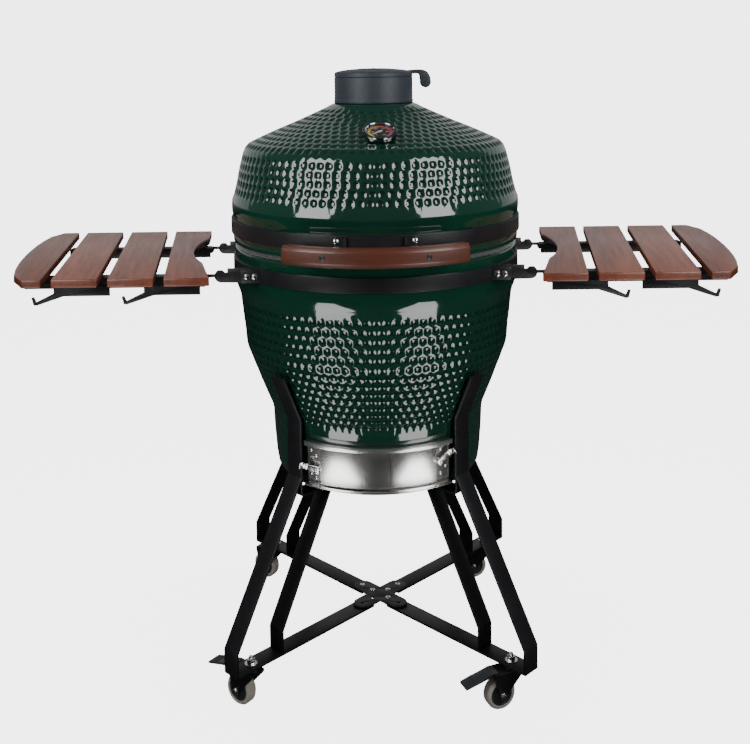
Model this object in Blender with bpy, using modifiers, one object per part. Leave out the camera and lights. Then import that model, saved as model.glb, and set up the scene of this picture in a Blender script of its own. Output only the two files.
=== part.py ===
"""Ceramic kamado grill on a four-legged wheeled stand, with two folding slatted side shelves."""

import math

import bmesh
import bpy
from mathutils import Matrix, Vector

# Driving dimensions, in metres and degrees. The ground is z = 0 and the bowl's axis is the Z axis.
GAP = 0.0003
ROUND_STEPS = 36
SMALL_STEPS = 24
FRONT = -90.0

# Ceramic base: wall radii and heights, outside from the rim to the foot, then inside from the floor up.
BASE_FLOOR_Z = 0.428
BASE_BOTTOM_Z = 0.4003
BASE_RIM_Z = 0.880
BASE_OUTSIDE = [
    (0.2970, 0.880), (0.2985, 0.876), (0.2985, 0.812), (0.2962, 0.798), (0.2905, 0.782),
    (0.2880, 0.766), (0.2810, 0.704), (0.2780, 0.672), (0.2709, 0.651), (0.2646, 0.6335),
    (0.2574, 0.6156), (0.2511, 0.598), (0.2365, 0.5617), (0.2275, 0.5435), (0.2246, 0.526),
    (0.2230, 0.490), (0.2190, 0.437), (0.2157, 0.415), (0.2098, 0.4045), (0.1990, 0.4003),
]
BASE_INSIDE = [
    (0.180, 0.428), (0.193, 0.440), (0.197, 0.520), (0.205, 0.548), (0.228, 0.600),
    (0.247, 0.660), (0.254, 0.700), (0.266, 0.800), (0.272, 0.880),
]

# Domed lid: outside from the vent seat down to the rim, inside from the rim up.
LID_RIM_Z = 0.889
LID_OUTSIDE = [
    (0.0580, 1.1745), (0.0830, 1.1745), (0.1054, 1.1635), (0.1351, 1.1502), (0.1638, 1.1375),
    (0.1945, 1.1250), (0.2240, 1.1125), (0.2514, 1.1000), (0.2665, 1.0925), (0.2745, 1.0840),
    (0.2788, 1.0740), (0.2825, 1.0600), (0.2880, 1.0376), (0.2929, 1.0124), (0.2994, 0.9872),
    (0.3037, 0.9746), (0.3043, 0.9620), (0.3035, 0.9500), (0.3018, 0.9450), (0.3018, 0.8950),
    (0.3003, 0.8890),
]
LID_INSIDE = [
    (0.274, 0.889), (0.273, 0.960), (0.268, 1.012), (0.262, 1.050), (0.252, 1.070),
    (0.235, 1.082), (0.190, 1.101), (0.120, 1.131), (0.075, 1.150), (0.058, 1.155),
]

# Ceramic inner parts and grates.
FIRE_BOX_OUTSIDE = [
    (0.245, 0.700), (0.238, 0.668), (0.218, 0.610), (0.196, 0.556), (0.187, 0.520),
    (0.184, 0.450), (0.176, 0.4283),
]
FIRE_BOX_INSIDE = [(0.150, 0.4283), (0.150, 0.515), (0.168, 0.515), (0.190, 0.590), (0.222, 0.700)]
FIRE_RING_SECTION = [(0.258, 0.815), (0.244, 0.7003), (0.222, 0.7003), (0.232, 0.815)]
CHARCOAL_GRATE = {"radius": 0.1670, "z": 0.5153, "thick": 0.008, "slots": 7, "slot": 0.016}
COOKING_GRATE = {"radius": 0.2450, "z": 0.8153, "thick": 0.008, "slots": 15, "slot": 0.021}
GRATE_RIM = 0.014

# Gaskets and steel bands.
GASKET_RADII = (0.277, 0.296)
GASKET_THICK = 0.0041
LOWER_BAND = {"inner": 0.2990, "outer": 0.3025, "bottom": 0.829, "top": 0.858}
UPPER_BAND = {"inner": 0.3024, "outer": 0.3060, "bottom": 0.909, "top": 0.939}

# Lid hinge at the back: a pin along X between steel ears.
HINGE_Y = 0.357
HINGE_Z = 0.8845
HINGE_PIN_RADIUS = 0.006
HINGE_EAR_RADIUS = 0.018
HINGE_LOWER_EAR_X = 0.088
HINGE_UPPER_EAR_X = 0.076
HINGE_EAR_THICK = 0.006
HINGE_PIN_LENGTH = 0.206
HINGE_PLATE_HALF = 0.110
HINGE_PLATE_THICK = 0.005
HINGE_EAR_SETBACK = 0.001
SPRING_RADII = (0.0072, 0.0130)
SPRING_LENGTH = 0.052
SPRING_X = 0.040

# Front handle.
GRIP_CENTRE_Y = -0.075
GRIP_RADII = (0.277, 0.300)
GRIP_Z = (0.890, 0.926)
GRIP_HALF_ANGLE = 35.6
GRIP_CHAMFER = 0.004
HANDLE_BRACKET_X = 0.066
HANDLE_BRACKET_WIDE = 0.022
HANDLE_BRACKET_TAB = {
    "inside": -0.290, "band_face": -0.3095, "grip_face": -0.3405, "thick": 0.005,
    "top": 0.937, "arm_top": 0.922, "arm_bottom": 0.914, "foot": 0.893,
}

# Top vent and its turning cap.
VENT_RADIUS = 0.083
VENT_TOP_Z = 1.2285
VENT_BODY_SECTION = [
    (0.0830, 1.2285), (0.0830, 1.1810), (0.0838, 1.1748), (0.0575, 1.1748), (0.0575, 1.1500),
    (0.0500, 1.1500), (0.0500, 1.1790), (0.0770, 1.1860), (0.0770, 1.2240), (0.0600, 1.2240),
    (0.0600, 1.2285),
]
CAP_OUTSIDE = [(0.0, 1.2470), (0.0400, 1.2458), (0.0660, 1.2430), (0.0790, 1.2400), (0.0830, 1.2360)]
CAP_SLOT_RADII = (0.022, 0.050)
CAP_SLOT_STARTS = (65.0, 245.0)
CAP_SLOT_SPAN = 50.0
LEVER_TOP = [(0.0740, 1.2345), (0.0740, 1.2430), (0.1000, 1.2440), (0.1110, 1.2400), (0.1175, 1.2300)]
LEVER_UNDER = [(0.1060, 1.2290), (0.0985, 1.2355)]
LEVER_BULB = (0.1115, 1.2130)
LEVER_BULB_RADIUS = 0.0105
LEVER_HALF = 0.0075

# Thermometer on the lid's slope.
LID_SLOPE = 24.0
THERMOMETER_TURN = 3.0
THERMOMETER_R = 0.211
THERMOMETER_SEAT_Z = 1.1195
THERMOMETER_RADIUS = 0.0342
THERMOMETER_DEEP = 0.0115
BEZEL_WIDE = 0.0045
DIAL_FACE = 0.0050
LENS_DEEP = (0.0085, 0.0109)
NEEDLE_REST = 215.0
NEEDLE_OUTLINE = [
    (-0.0060, -0.0012), (0.0, -0.0024), (0.0225, -0.0004), (0.0225, 0.0004), (0.0, 0.0024),
    (-0.0060, 0.0012),
]
NEEDLE_DEEP = (0.0062, 0.0072)
STEM_RADIUS = 0.004
STEM_LENGTH = 0.055
STEM_CLEAR = 0.001

# Draft door in the foot of the base.
DRAFT_CUT = {"half": 0.096, "bottom": 0.436, "top": 0.492}
DRAFT_FRAME_SECTION = [
    (0.2250, 0.4180), (0.2385, 0.4180), (0.2385, 0.4205), (0.2268, 0.4225), (0.2268, 0.4985),
    (0.2385, 0.4990), (0.2385, 0.5090), (0.2250, 0.5090),
]
DRAFT_FRAME_HALF = 38.5
DRAFT_WINDOW_HALF = 27.5
DRAFT_WINDOW_SECTION = [(0.20, 0.4285), (0.25, 0.4285), (0.25, 0.4930), (0.20, 0.4930)]
DRAFT_PANEL_Z = (0.4255, 0.4960)
DRAFT_INNER_RADII = (0.2275, 0.2290)
DRAFT_OUTER_RADII = (0.2305, 0.2320)
DRAFT_INNER_SPAN = (FRONT - 7.0, FRONT + 30.0)
DRAFT_OUTER_SPAN = (FRONT - 30.0, FRONT + 7.0)
DRAFT_PULL = {"stands": 0.0050, "sunk": 0.0004, "inset": 0.004, "span": (-0.6, -0.1)}
LATCH_OUTLINE = [
    (-0.007, -0.0060), (0.0, -0.0080), (0.018, -0.0045), (0.027, -0.0060), (0.027, 0.0060),
    (0.018, 0.0045), (0.0, 0.0080), (-0.007, 0.0060),
]
LATCH_TURN = {"left": -31.8, "right": 31.8}
LATCH_POINTS = {"left": 170.0, "right": 35.0}
LATCH_Z = {"left": 0.453, "right": 0.468}
LATCH_R = 0.2358
LATCH_THICK = 0.0022
LATCH_BOSS_RADIUS = 0.004

# Side shelves. Boards and rails run out along X, and the boards are splayed back from the Y axis.
SHELF_TOP = 0.862
BOARD_THICK = 0.016
BOARD_WIDE = 0.086
BOARD_PITCH = 0.1055
BOARD_FIRST = 0.3546
BOARD_SPLAY = 0.146
BOARD_ENDS = (-0.294, 0.250)
CUT_CENTRE = (-0.0375, 0.047)
CUT_RADIUS = 0.430
OUTER_BOARD_END = 0.036
OUTER_BOARD_BULGE = 0.076
RAIL_Y = {"front": -0.186, "back": 0.124}
RAIL_FLANGE = 0.030
RAIL_DROP = 0.021
RAIL_THICK = 0.003
RAIL_START = 0.030
RAIL_END = 0.690
ROD_RADIUS = 0.0034
BRACKET_REACH = 0.080
BRACKET_THICK = 0.006
BRACKET_FOOT = {"back": 0.010, "out": 0.040, "half": 0.014, "inset": 0.0015}
PIVOT_Z = 0.843
PIVOT_BACK = 0.013
PIVOT_RADIUS = 0.004
PIVOT_LENGTH = 0.015
NOTCH = {"near": 0.0035, "far": 0.0125, "rise": 0.0065}
EYE_RADIUS = 0.0085
EYE_HOLE = 0.0047
EYE_HALF = 0.0035
EYE_ALONG = 0.0085
LUG = {"back": 0.004, "out": 0.006, "drop": 0.009, "inset": 0.001}
HOOK_STARTS = (0.345, 0.522)
HOOK_PLATE = 0.110
HOOK_Z = (0.810, 0.8295)
HOOK_Y = (-0.0025, 0.0012)
HOOK_ARM = 0.038
HOOK_DROP = 0.018

# Stand: bent flat bar in the diagonal planes.
BAR = 0.005
BAR_WIDE = 0.040
CRADLE_PATH = [(0.2790, 0.640), (0.2370, 0.546), (0.2370, 0.4300), (0.4070, 0.132), (0.4070, 0.082)]
ARM_Z = 0.0865
ARM_INNER = 0.038
INNER_PATH = [(0.1540, 0.3920), (0.2940, 0.134), (0.2940, 0.088)]
LINK_PATH = [(0.1350, 0.3915), (0.2370, 0.3915), (0.2370, 0.4320)]
WELD_STEP = 0.0003
RING_RADII = (0.130, 0.175)
RING_Z = (0.3945, 0.3998)
CROSS_PLATE = {"reach": 0.052, "half": 0.021, "thick": 0.003}
CROSS_HOLES = (0.024, 0.056)
CROSS_HOLE_RADIUS = 0.0035

# Casters: a swivel on each arm, with the wheel trailing behind it.
CASTER_R = 0.360
CASTER_TOP = 0.0837
WHEEL_RADIUS = 0.031
WHEEL_BORE = 0.0046
AXLE_RADIUS = 0.004
CASTER_TRAIL = 0.027
CASTER_HEADINGS = {"front_left": 143.0, "front_right": 202.0, "back_left": 150.0, "back_right": 185.0}
LEG_ANGLES = {"front_left": 225.0, "front_right": 315.0, "back_left": 135.0, "back_right": 45.0}
CHEEK_Y = (0.0150, 0.0178)
CROWN = {"front": -0.018, "back": 0.046, "bottom": -0.0095, "top": -0.0068}
BOSS_RADIUS = 0.017
CHEEK_FOOT_RADIUS = 0.0085
CHEEK_FRONT = [(-0.0178, -0.0080), (-0.0178, -0.0130)]
CHEEK_BACK = [(0.0456, -0.0150), (0.0456, -0.0080)]
AXLE_PROUD = 0.0012
WHEEL_SECTION = [
    (WHEEL_BORE, 0.0110), (0.0215, 0.0090), (0.0225, 0.0120), (0.0280, 0.0115), (WHEEL_RADIUS, 0.0075),
]
PEDAL_PIVOT = (0.050, -0.0095)
PEDAL_HALF = 0.0145
PEDAL_OUTLINE = [
    (-0.0140, 0.0033), (-0.0140, 0.0053), (0.0060, 0.0020), (0.0290, -0.0035), (0.0550, -0.0105),
    (0.0550, -0.0150), (0.0300, -0.0090), (0.0060, -0.0030), (-0.0020, -0.0020), (-0.0020, 0.0031),
]

MATERIALS = {
    "green_glaze": ((0.012, 0.085, 0.045, 1.0), 0.0, 0.12),
    "black_steel": ((0.018, 0.018, 0.020, 1.0), 0.4, 0.45),
    "stainless": ((0.62, 0.61, 0.59, 1.0), 1.0, 0.28),
    "stained_wood": ((0.17, 0.055, 0.030, 1.0), 0.0, 0.45),
    "cast_metal": ((0.050, 0.058, 0.066, 1.0), 0.6, 0.5),
    "fired_clay": ((0.48, 0.40, 0.30, 1.0), 0.0, 0.85),
    "felt": ((0.03, 0.03, 0.03, 1.0), 0.0, 0.95),
    "bright_chrome": ((0.75, 0.75, 0.76, 1.0), 1.0, 0.12),
    "pale_rubber": ((0.42, 0.40, 0.35, 1.0), 0.0, 0.6),
    "black_plastic": ((0.03, 0.03, 0.032, 1.0), 0.0, 0.5),
    "needle_paint": ((0.85, 0.83, 0.75, 1.0), 0.0, 0.5),
    "clear_glass": ((0.9, 0.95, 0.95, 1.0), 0.0, 0.03),
}


def clear_scene():
    for old in list(bpy.data.objects):
        bpy.data.objects.remove(old)


def new_collection(name):
    made = bpy.data.collections.new(name)
    bpy.context.scene.collection.children.link(made)
    return made


def make_material(name):
    colour, metallic, roughness = MATERIALS[name]
    made = bpy.data.materials.new(name)
    made.use_nodes = True
    shader = made.node_tree.nodes["Principled BSDF"]
    shader.inputs["Base Color"].default_value = colour
    shader.inputs["Metallic"].default_value = metallic
    shader.inputs["Roughness"].default_value = roughness
    return made


def as_part(obj, name, material, smooth=True):
    """Names the object as a node, gives it its material and puts it in the grill's collection."""
    obj.name = name
    obj.data.name = name
    for owner in list(obj.users_collection):
        owner.objects.unlink(obj)
    PARTS.objects.link(obj)
    obj.hide_render = False
    obj.display_type = "TEXTURED"
    if not obj.data.materials:
        obj.data.materials.append(MADE[material])
    if smooth and obj.type == "MESH":
        obj.data.shade_smooth()
    return obj


def helper(name, mesh):
    obj = bpy.data.objects.new(name, mesh)
    HELPERS.objects.link(obj)
    obj.hide_render = True
    obj.display_type = "WIRE"
    return obj


def box(name, low, high):
    """A box between two corners, as a helper object."""
    mesh = bpy.data.meshes.new(name)
    shape = bmesh.new()
    bmesh.ops.create_cube(shape, size=1.0)
    size = Vector(high) - Vector(low)
    middle = (Vector(high) + Vector(low)) / 2
    bmesh.ops.scale(shape, vec=size, verts=shape.verts)
    bmesh.ops.translate(shape, vec=middle, verts=shape.verts)
    shape.to_mesh(mesh)
    shape.free()
    return helper(name, mesh)


def rod(name, start, end, radius, sides=16):
    """A solid cylinder from one point to another, as a helper object."""
    mesh = bpy.data.meshes.new(name)
    shape = bmesh.new()
    run = Vector(end) - Vector(start)
    bmesh.ops.create_cone(
        shape, cap_ends=True, segments=sides, radius1=radius, radius2=radius, depth=run.length
    )
    turn = run.to_track_quat("Z", "Y").to_matrix().to_4x4()
    place = Matrix.Translation((Vector(start) + Vector(end)) / 2) @ turn
    bmesh.ops.transform(shape, matrix=place, verts=shape.verts)
    shape.to_mesh(mesh)
    shape.free()
    return helper(name, mesh)


def turned(name, profile, closed=True, steps=ROUND_STEPS):
    """A profile of (radius, z) points turned about Z by a Screw modifier, as a helper object."""
    mesh = bpy.data.meshes.new(name)
    shape = bmesh.new()
    points = [shape.verts.new((radius, 0.0, z)) for radius, z in profile]
    for first, second in zip(points, points[1:]):
        shape.edges.new((first, second))
    if closed:
        shape.edges.new((points[-1], points[0]))
    shape.to_mesh(mesh)
    shape.free()
    obj = helper(name, mesh)
    screw = obj.modifiers.new("Turn", "SCREW")
    screw.angle = math.tau
    screw.steps = steps
    screw.render_steps = steps
    screw.use_merge_vertices = True
    screw.merge_threshold = 0.00001
    return obj


def cylinder_clear(radius, name):
    """A tall cylinder on the bowl's axis that clears a piece from a band."""
    return rod(name + "_clear", (0, 0, 0.80), (0, 0, 1.0), radius, ROUND_STEPS)


def swept(name, profile, start, end, steps, centre=(0.0, 0.0)):
    """A closed (radius, z) section carried round an arc about a vertical axis, as a helper object."""
    mesh = bpy.data.meshes.new(name)
    shape = bmesh.new()
    face = shape.faces.new([shape.verts.new((radius, 0.0, z)) for radius, z in profile])
    spin = Matrix.Rotation(math.radians(start), 3, "Z")
    bmesh.ops.rotate(shape, verts=shape.verts, cent=(0, 0, 0), matrix=spin)
    geometry = [face] + list(face.edges) + list(face.verts)
    bmesh.ops.spin(
        shape, geom=geometry, cent=(0, 0, 0), axis=(0, 0, 1),
        angle=math.radians(end - start), steps=steps, use_duplicate=False,
    )
    bmesh.ops.translate(shape, vec=(centre[0], centre[1], 0.0), verts=shape.verts)
    bmesh.ops.recalc_face_normals(shape, faces=shape.faces)
    shape.to_mesh(mesh)
    shape.free()
    return helper(name, mesh)


def plate(name, outlines, low, high):
    """A flat plate in XY with holes: the first outline is the edge, the others are holes."""
    curve = bpy.data.curves.new(name, "CURVE")
    curve.dimensions = "2D"
    curve.fill_mode = "BOTH"
    curve.extrude = (high - low) / 2
    for outline in outlines:
        spline = curve.splines.new("POLY")
        spline.points.add(len(outline) - 1)
        for point, (x, y) in zip(spline.points, outline):
            point.co = (x, y, 0.0, 1.0)
        spline.use_cyclic_u = True
    obj = bpy.data.objects.new(name, curve)
    HELPERS.objects.link(obj)
    bpy.context.view_layer.update()
    graph = bpy.context.evaluated_depsgraph_get()
    mesh = bpy.data.meshes.new_from_object(obj.evaluated_get(graph))
    bpy.data.objects.remove(obj)
    shape = bmesh.new()
    shape.from_mesh(mesh)
    bmesh.ops.remove_doubles(shape, verts=shape.verts, dist=0.00001)
    bmesh.ops.translate(shape, vec=(0.0, 0.0, (low + high) / 2), verts=shape.verts)
    bmesh.ops.recalc_face_normals(shape, faces=shape.faces)
    shape.to_mesh(mesh)
    shape.free()
    return helper(name, mesh)


def upright(name, outlines, low, high):
    """A plate whose outlines are (x, z) points, standing between two values of Y."""
    obj = plate(name, [[(x, z) for x, z in outline] for outline in outlines], -high, -low)
    stand = Matrix.Rotation(math.radians(90), 4, "X")
    obj.data.transform(stand)
    return obj


def endways(name, outlines, low, high):
    """A plate whose outlines are (y, z) points, standing between two values of X."""
    obj = plate(name, [[(y, z) for y, z in outline] for outline in outlines], low, high)
    stand = Matrix(((0, 0, 1, 0), (1, 0, 0, 0), (0, 1, 0, 0), (0, 0, 0, 1)))
    obj.data.transform(stand)
    return obj


def combine(obj, other, operation):
    step = obj.modifiers.new(operation.title(), "BOOLEAN")
    step.operation = operation
    step.object = other
    step.solver = "EXACT"
    return obj


def joined(first, *others):
    for other in others:
        combine(first, other, "UNION")
    return first


def cut(first, *others):
    for other in others:
        combine(first, other, "DIFFERENCE")
    return first


def settled(obj):
    """The object's mesh with its modifiers applied."""
    bpy.context.view_layer.update()
    graph = bpy.context.evaluated_depsgraph_get()
    return bpy.data.meshes.new_from_object(obj.evaluated_get(graph))


def mirrored(mesh, name):
    """A copy of a mesh reflected across the YZ plane, with its faces still outward."""
    copy = mesh.copy()
    copy.name = name
    copy.transform(Matrix.Scale(-1.0, 4, (1, 0, 0)))
    copy.flip_normals()
    return copy


def empty(name, place, turn_z=0.0):
    obj = bpy.data.objects.new(name, None)
    PARTS.objects.link(obj)
    obj.location = place
    obj.rotation_euler = (0.0, 0.0, math.radians(turn_z))
    bpy.context.view_layer.update()
    return obj


def hang(parent, *children):
    """Parents objects to an empty without moving them."""
    for child in children:
        child.parent = parent
        child.matrix_parent_inverse = parent.matrix_world.inverted()


def arc(centre, radius, start, end, count):
    """Points along an arc, from one angle to another in degrees."""
    points = []
    for step in range(count):
        angle = math.radians(start + (end - start) * step / (count - 1))
        points.append((centre[0] + radius * math.cos(angle), centre[1] + radius * math.sin(angle)))
    return points


def circle(centre, radius, count):
    return arc(centre, radius, 0.0, 360.0 * (count - 1) / count, count)


def bent_bar(path, thick):
    """The outline of a flat bar bent along a path, with mitred corners."""
    left = []
    right = []
    for index, point in enumerate(path):
        here = Vector(point)
        before = Vector(path[max(index - 1, 0)])
        after = Vector(path[min(index + 1, len(path) - 1)])
        into = (here - before).normalized() if index else (after - here).normalized()
        out = (after - here).normalized() if index < len(path) - 1 else into
        normal = Vector((-into.y, into.x)) + Vector((-out.y, out.x))
        normal = normal.normalized()
        reach = (thick / 2) / max(normal.dot(Vector((-into.y, into.x))), 0.3)
        left.append(tuple(here + normal * reach))
        right.append(tuple(here - normal * reach))
    return left + right[::-1]


def ceramic_base():
    profile = [(0.0, BASE_FLOOR_Z)] + BASE_INSIDE + BASE_OUTSIDE + [(0.0, BASE_BOTTOM_Z)]
    shell = turned("base_shell", profile, closed=False)
    half = DRAFT_CUT["half"]
    window = box(
        "draft_window", (-half, -0.30, DRAFT_CUT["bottom"]), (half, -0.10, DRAFT_CUT["top"])
    )
    cut(shell, window)
    as_part(shell, "base_shell", "green_glaze")
    fire_box = turned("fire_box", FIRE_BOX_OUTSIDE + FIRE_BOX_INSIDE)
    cut(fire_box, window)
    as_part(fire_box, "fire_box", "fired_clay")
    as_part(turned("fire_ring", FIRE_RING_SECTION), "fire_ring", "fired_clay")


def grate(name, size):
    """A round cast grate with parallel slots that stop at its rim."""
    radius = size["radius"]
    inner = radius - GRATE_RIM
    outlines = [circle((0.0, 0.0), radius, ROUND_STEPS)]
    pitch = 2 * inner / size["slots"]
    for index in range(size["slots"]):
        middle = -inner + pitch * (index + 0.5)
        edge = abs(middle) + size["slot"] / 2
        half = math.sqrt(max(inner**2 - edge**2, 0.0))
        if half < GRATE_RIM:
            continue
        low = (middle - size["slot"] / 2, -half)
        high = (middle + size["slot"] / 2, half)
        outlines.append([low, (high[0], low[1]), high, (low[0], high[1])])
    made = plate(name, outlines, size["z"], size["z"] + size["thick"])
    as_part(made, name, "cast_metal", smooth=False)


def ring(name, inner, outer, bottom, top, material):
    section = [(outer, top), (outer, bottom), (inner, bottom), (inner, top)]
    return as_part(turned(name, section), name, material)


def gaskets_and_bands():
    inner, outer = GASKET_RADII
    low = BASE_RIM_Z + GAP
    ring("lower_gasket", inner, outer, low, low + GASKET_THICK, "felt")
    low += GASKET_THICK + GAP
    upper = ring("upper_gasket", inner, outer, low, LID_RIM_Z - GAP, "felt")
    band = LOWER_BAND
    ring("lower_band", band["inner"], band["outer"], band["bottom"], band["top"], "black_steel")
    band = UPPER_BAND
    top = ring(
        "upper_band", band["inner"], band["outer"], band["bottom"], band["top"], "black_steel"
    )
    return upper, top


def hinge_bracket(name, band, ear_x):
    """A plate across the back of a band with two ears that hold the pin."""
    face = band["outer"] + GAP
    back = face + HINGE_PLATE_THICK
    wall = [(face, band["bottom"]), (back, band["bottom"]), (back, band["top"]), (face, band["top"])]
    body = endways(name, [wall], -HINGE_PLATE_HALF, HINGE_PLATE_HALF)
    centre = (HINGE_Y, HINGE_Z)
    below_pin = band["top"] < HINGE_Z
    start, end = (-60.0, 120.0) if below_pin else (-120.0, 60.0)
    root = face + HINGE_EAR_SETBACK
    edge = [(root, band["bottom"] + HINGE_EAR_SETBACK)]
    edge += arc(centre, HINGE_EAR_RADIUS, start, end, 10)
    edge += [(root, band["top"] - HINGE_EAR_SETBACK)]
    hole = circle(centre, HINGE_PIN_RADIUS + GAP, 16)
    half = HINGE_EAR_THICK / 2
    for middle in (-ear_x, ear_x):
        joined(body, endways(name + "_ear", [edge, hole], middle - half, middle + half))
    return as_part(body, name, "black_steel", smooth=False)


def lid_hinge():
    hinge_bracket("hinge_lower_bracket", LOWER_BAND, HINGE_LOWER_EAR_X)
    upper = hinge_bracket("hinge_upper_bracket", UPPER_BAND, HINGE_UPPER_EAR_X)
    half = HINGE_PIN_LENGTH / 2
    pin = rod("hinge_pin", (-half, HINGE_Y, HINGE_Z), (half, HINGE_Y, HINGE_Z), HINGE_PIN_RADIUS)
    as_part(pin, "hinge_pin", "bright_chrome")
    for side, name in ((-1, "hinge_spring_left"), (1, "hinge_spring_right")):
        inner, outer = SPRING_RADII
        half = SPRING_LENGTH / 2
        section = [(outer, half), (outer, -half), (inner, -half), (inner, half)]
        coil = turned(name, section, steps=16)
        coil.rotation_euler = (0.0, math.radians(90), 0.0)
        coil.location = (side * SPRING_X, HINGE_Y, HINGE_Z)
        as_part(coil, name, "bright_chrome")
    return upper


def handle():
    low, high = GRIP_Z
    inner, outer = GRIP_RADII
    corner = GRIP_CHAMFER
    section = [
        (inner, low + corner), (inner + corner, low), (outer - corner, low), (outer, low + corner),
        (outer, high - corner), (outer - corner, high), (inner + corner, high),
        (inner, high - corner),
    ]
    grip = swept(
        "handle_grip", section, FRONT - GRIP_HALF_ANGLE, FRONT + GRIP_HALF_ANGLE, 16,
        (0.0, GRIP_CENTRE_Y),
    )
    made = [as_part(grip, "handle_grip", "stained_wood", smooth=False)]
    tab = HANDLE_BRACKET_TAB
    grip_back = tab["grip_face"] + tab["thick"]
    outline = [
        (tab["inside"], tab["top"]), (tab["band_face"], tab["top"]),
        (tab["band_face"], tab["arm_top"]), (tab["grip_face"], tab["arm_top"]),
        (tab["grip_face"], tab["foot"]), (grip_back, tab["foot"]),
        (grip_back, tab["arm_bottom"]), (tab["inside"], tab["arm_bottom"]),
    ]
    for side, name in ((-1, "handle_bracket_left"), (1, "handle_bracket_right")):
        middle = side * HANDLE_BRACKET_X
        half = HANDLE_BRACKET_WIDE / 2
        piece = endways(name, [outline], middle - half, middle + half)
        cut(piece, cylinder_clear(UPPER_BAND["outer"] + GAP, name))
        made.append(as_part(piece, name, "black_steel", smooth=False))
    return made


def vent():
    body = turned("vent_body", VENT_BODY_SECTION, steps=SMALL_STEPS)
    as_part(body, "vent_body", "cast_metal")
    low = VENT_TOP_Z + GAP
    profile = CAP_OUTSIDE + [(VENT_RADIUS, low), (0.0, low)]
    cap = turned("vent_cap", profile, closed=False, steps=SMALL_STEPS)
    inner, outer = CAP_SLOT_RADII
    under = low - 0.01
    over = CAP_OUTSIDE[0][1] + 0.01
    for start in CAP_SLOT_STARTS:
        section = [(inner, under), (outer, under), (outer, over), (inner, over)]
        cut(cap, swept("cap_slot", section, start, start + CAP_SLOT_SPAN, 5))
    lever = LEVER_TOP + arc(LEVER_BULB, LEVER_BULB_RADIUS, 25.0, -205.0, 9) + LEVER_UNDER
    joined(cap, upright("vent_lever", [lever[::-1]], -LEVER_HALF, LEVER_HALF))
    as_part(cap, "vent_cap", "cast_metal")
    return body, cap


def on_slope(obj):
    """Tips a piece modelled round Z so that it stands on the lid's slope, facing the front."""
    obj.rotation_euler = (math.radians(LID_SLOPE), 0.0, math.radians(THERMOMETER_TURN))
    angle = math.radians(FRONT + THERMOMETER_TURN)
    obj.location = (
        THERMOMETER_R * math.cos(angle), THERMOMETER_R * math.sin(angle), THERMOMETER_SEAT_Z
    )


def thermometer():
    radius = THERMOMETER_RADIUS
    deep = THERMOMETER_DEEP
    well = radius - BEZEL_WIDE
    edge = 0.0015
    case_profile = [
        (0.0, DIAL_FACE), (well, DIAL_FACE), (well, deep), (radius - edge, deep),
        (radius, deep - edge), (radius, 0.0005), (STEM_RADIUS, 0.0005),
        (STEM_RADIUS, -STEM_LENGTH), (0.0, -STEM_LENGTH - STEM_RADIUS),
    ]
    case = turned("thermometer_case", case_profile, closed=False, steps=SMALL_STEPS)
    hole = rod("stem_hole", (0, 0, -0.08), (0, 0, 0.05), STEM_RADIUS + STEM_CLEAR)
    needle = plate("thermometer_needle", [NEEDLE_OUTLINE], *NEEDLE_DEEP)
    needle.data.transform(Matrix.Rotation(math.radians(NEEDLE_REST), 4, "Z"))
    low, high = LENS_DEEP
    rim = well - 0.0004
    lens_profile = [(0.0, high), (rim, high - 0.0004), (rim, low), (0.0, low)]
    lens = turned("thermometer_lens", lens_profile, closed=False, steps=SMALL_STEPS)
    for piece in (case, hole, needle, lens):
        on_slope(piece)
    made = [as_part(case, "thermometer_case", "bright_chrome")]
    made.append(as_part(needle, "thermometer_needle", "needle_paint", smooth=False))
    made.append(as_part(lens, "thermometer_lens", "clear_glass"))
    return made, hole


def dome_lid(stem_hole):
    shell = turned("dome_lid", LID_OUTSIDE + LID_INSIDE)
    cut(shell, stem_hole)
    return as_part(shell, "dome_lid", "green_glaze")


def draft_door():
    half = DRAFT_FRAME_HALF
    frame = swept("draft_frame", DRAFT_FRAME_SECTION, FRONT - half, FRONT + half, 16)
    wide = DRAFT_WINDOW_HALF
    cut(frame, swept("frame_window", DRAFT_WINDOW_SECTION, FRONT - wide, FRONT + wide, 12))
    as_part(frame, "draft_frame", "stainless")
    low, high = DRAFT_PANEL_Z
    inner, outer = DRAFT_INNER_RADII
    section = [(inner, low), (outer, low), (outer, high), (inner, high)]
    screen = swept("draft_inner_door", section, *DRAFT_INNER_SPAN, 8)
    as_part(screen, "draft_inner_door", "stainless")
    inner, outer = DRAFT_OUTER_RADII
    section = [(inner, low), (outer, low), (outer, high), (inner, high)]
    door = swept("draft_door", section, *DRAFT_OUTER_SPAN, 8)
    sunk = inner + DRAFT_PULL["sunk"]
    proud = outer + DRAFT_PULL["stands"]
    low += DRAFT_PULL["inset"]
    high -= DRAFT_PULL["inset"]
    start, end = (DRAFT_OUTER_SPAN[1] + step for step in DRAFT_PULL["span"])
    lip = [(sunk, low), (proud, low), (proud, high), (sunk, high)]
    joined(door, swept("door_pull", lip, start, end, 1))
    as_part(door, "draft_door", "stainless")


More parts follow.
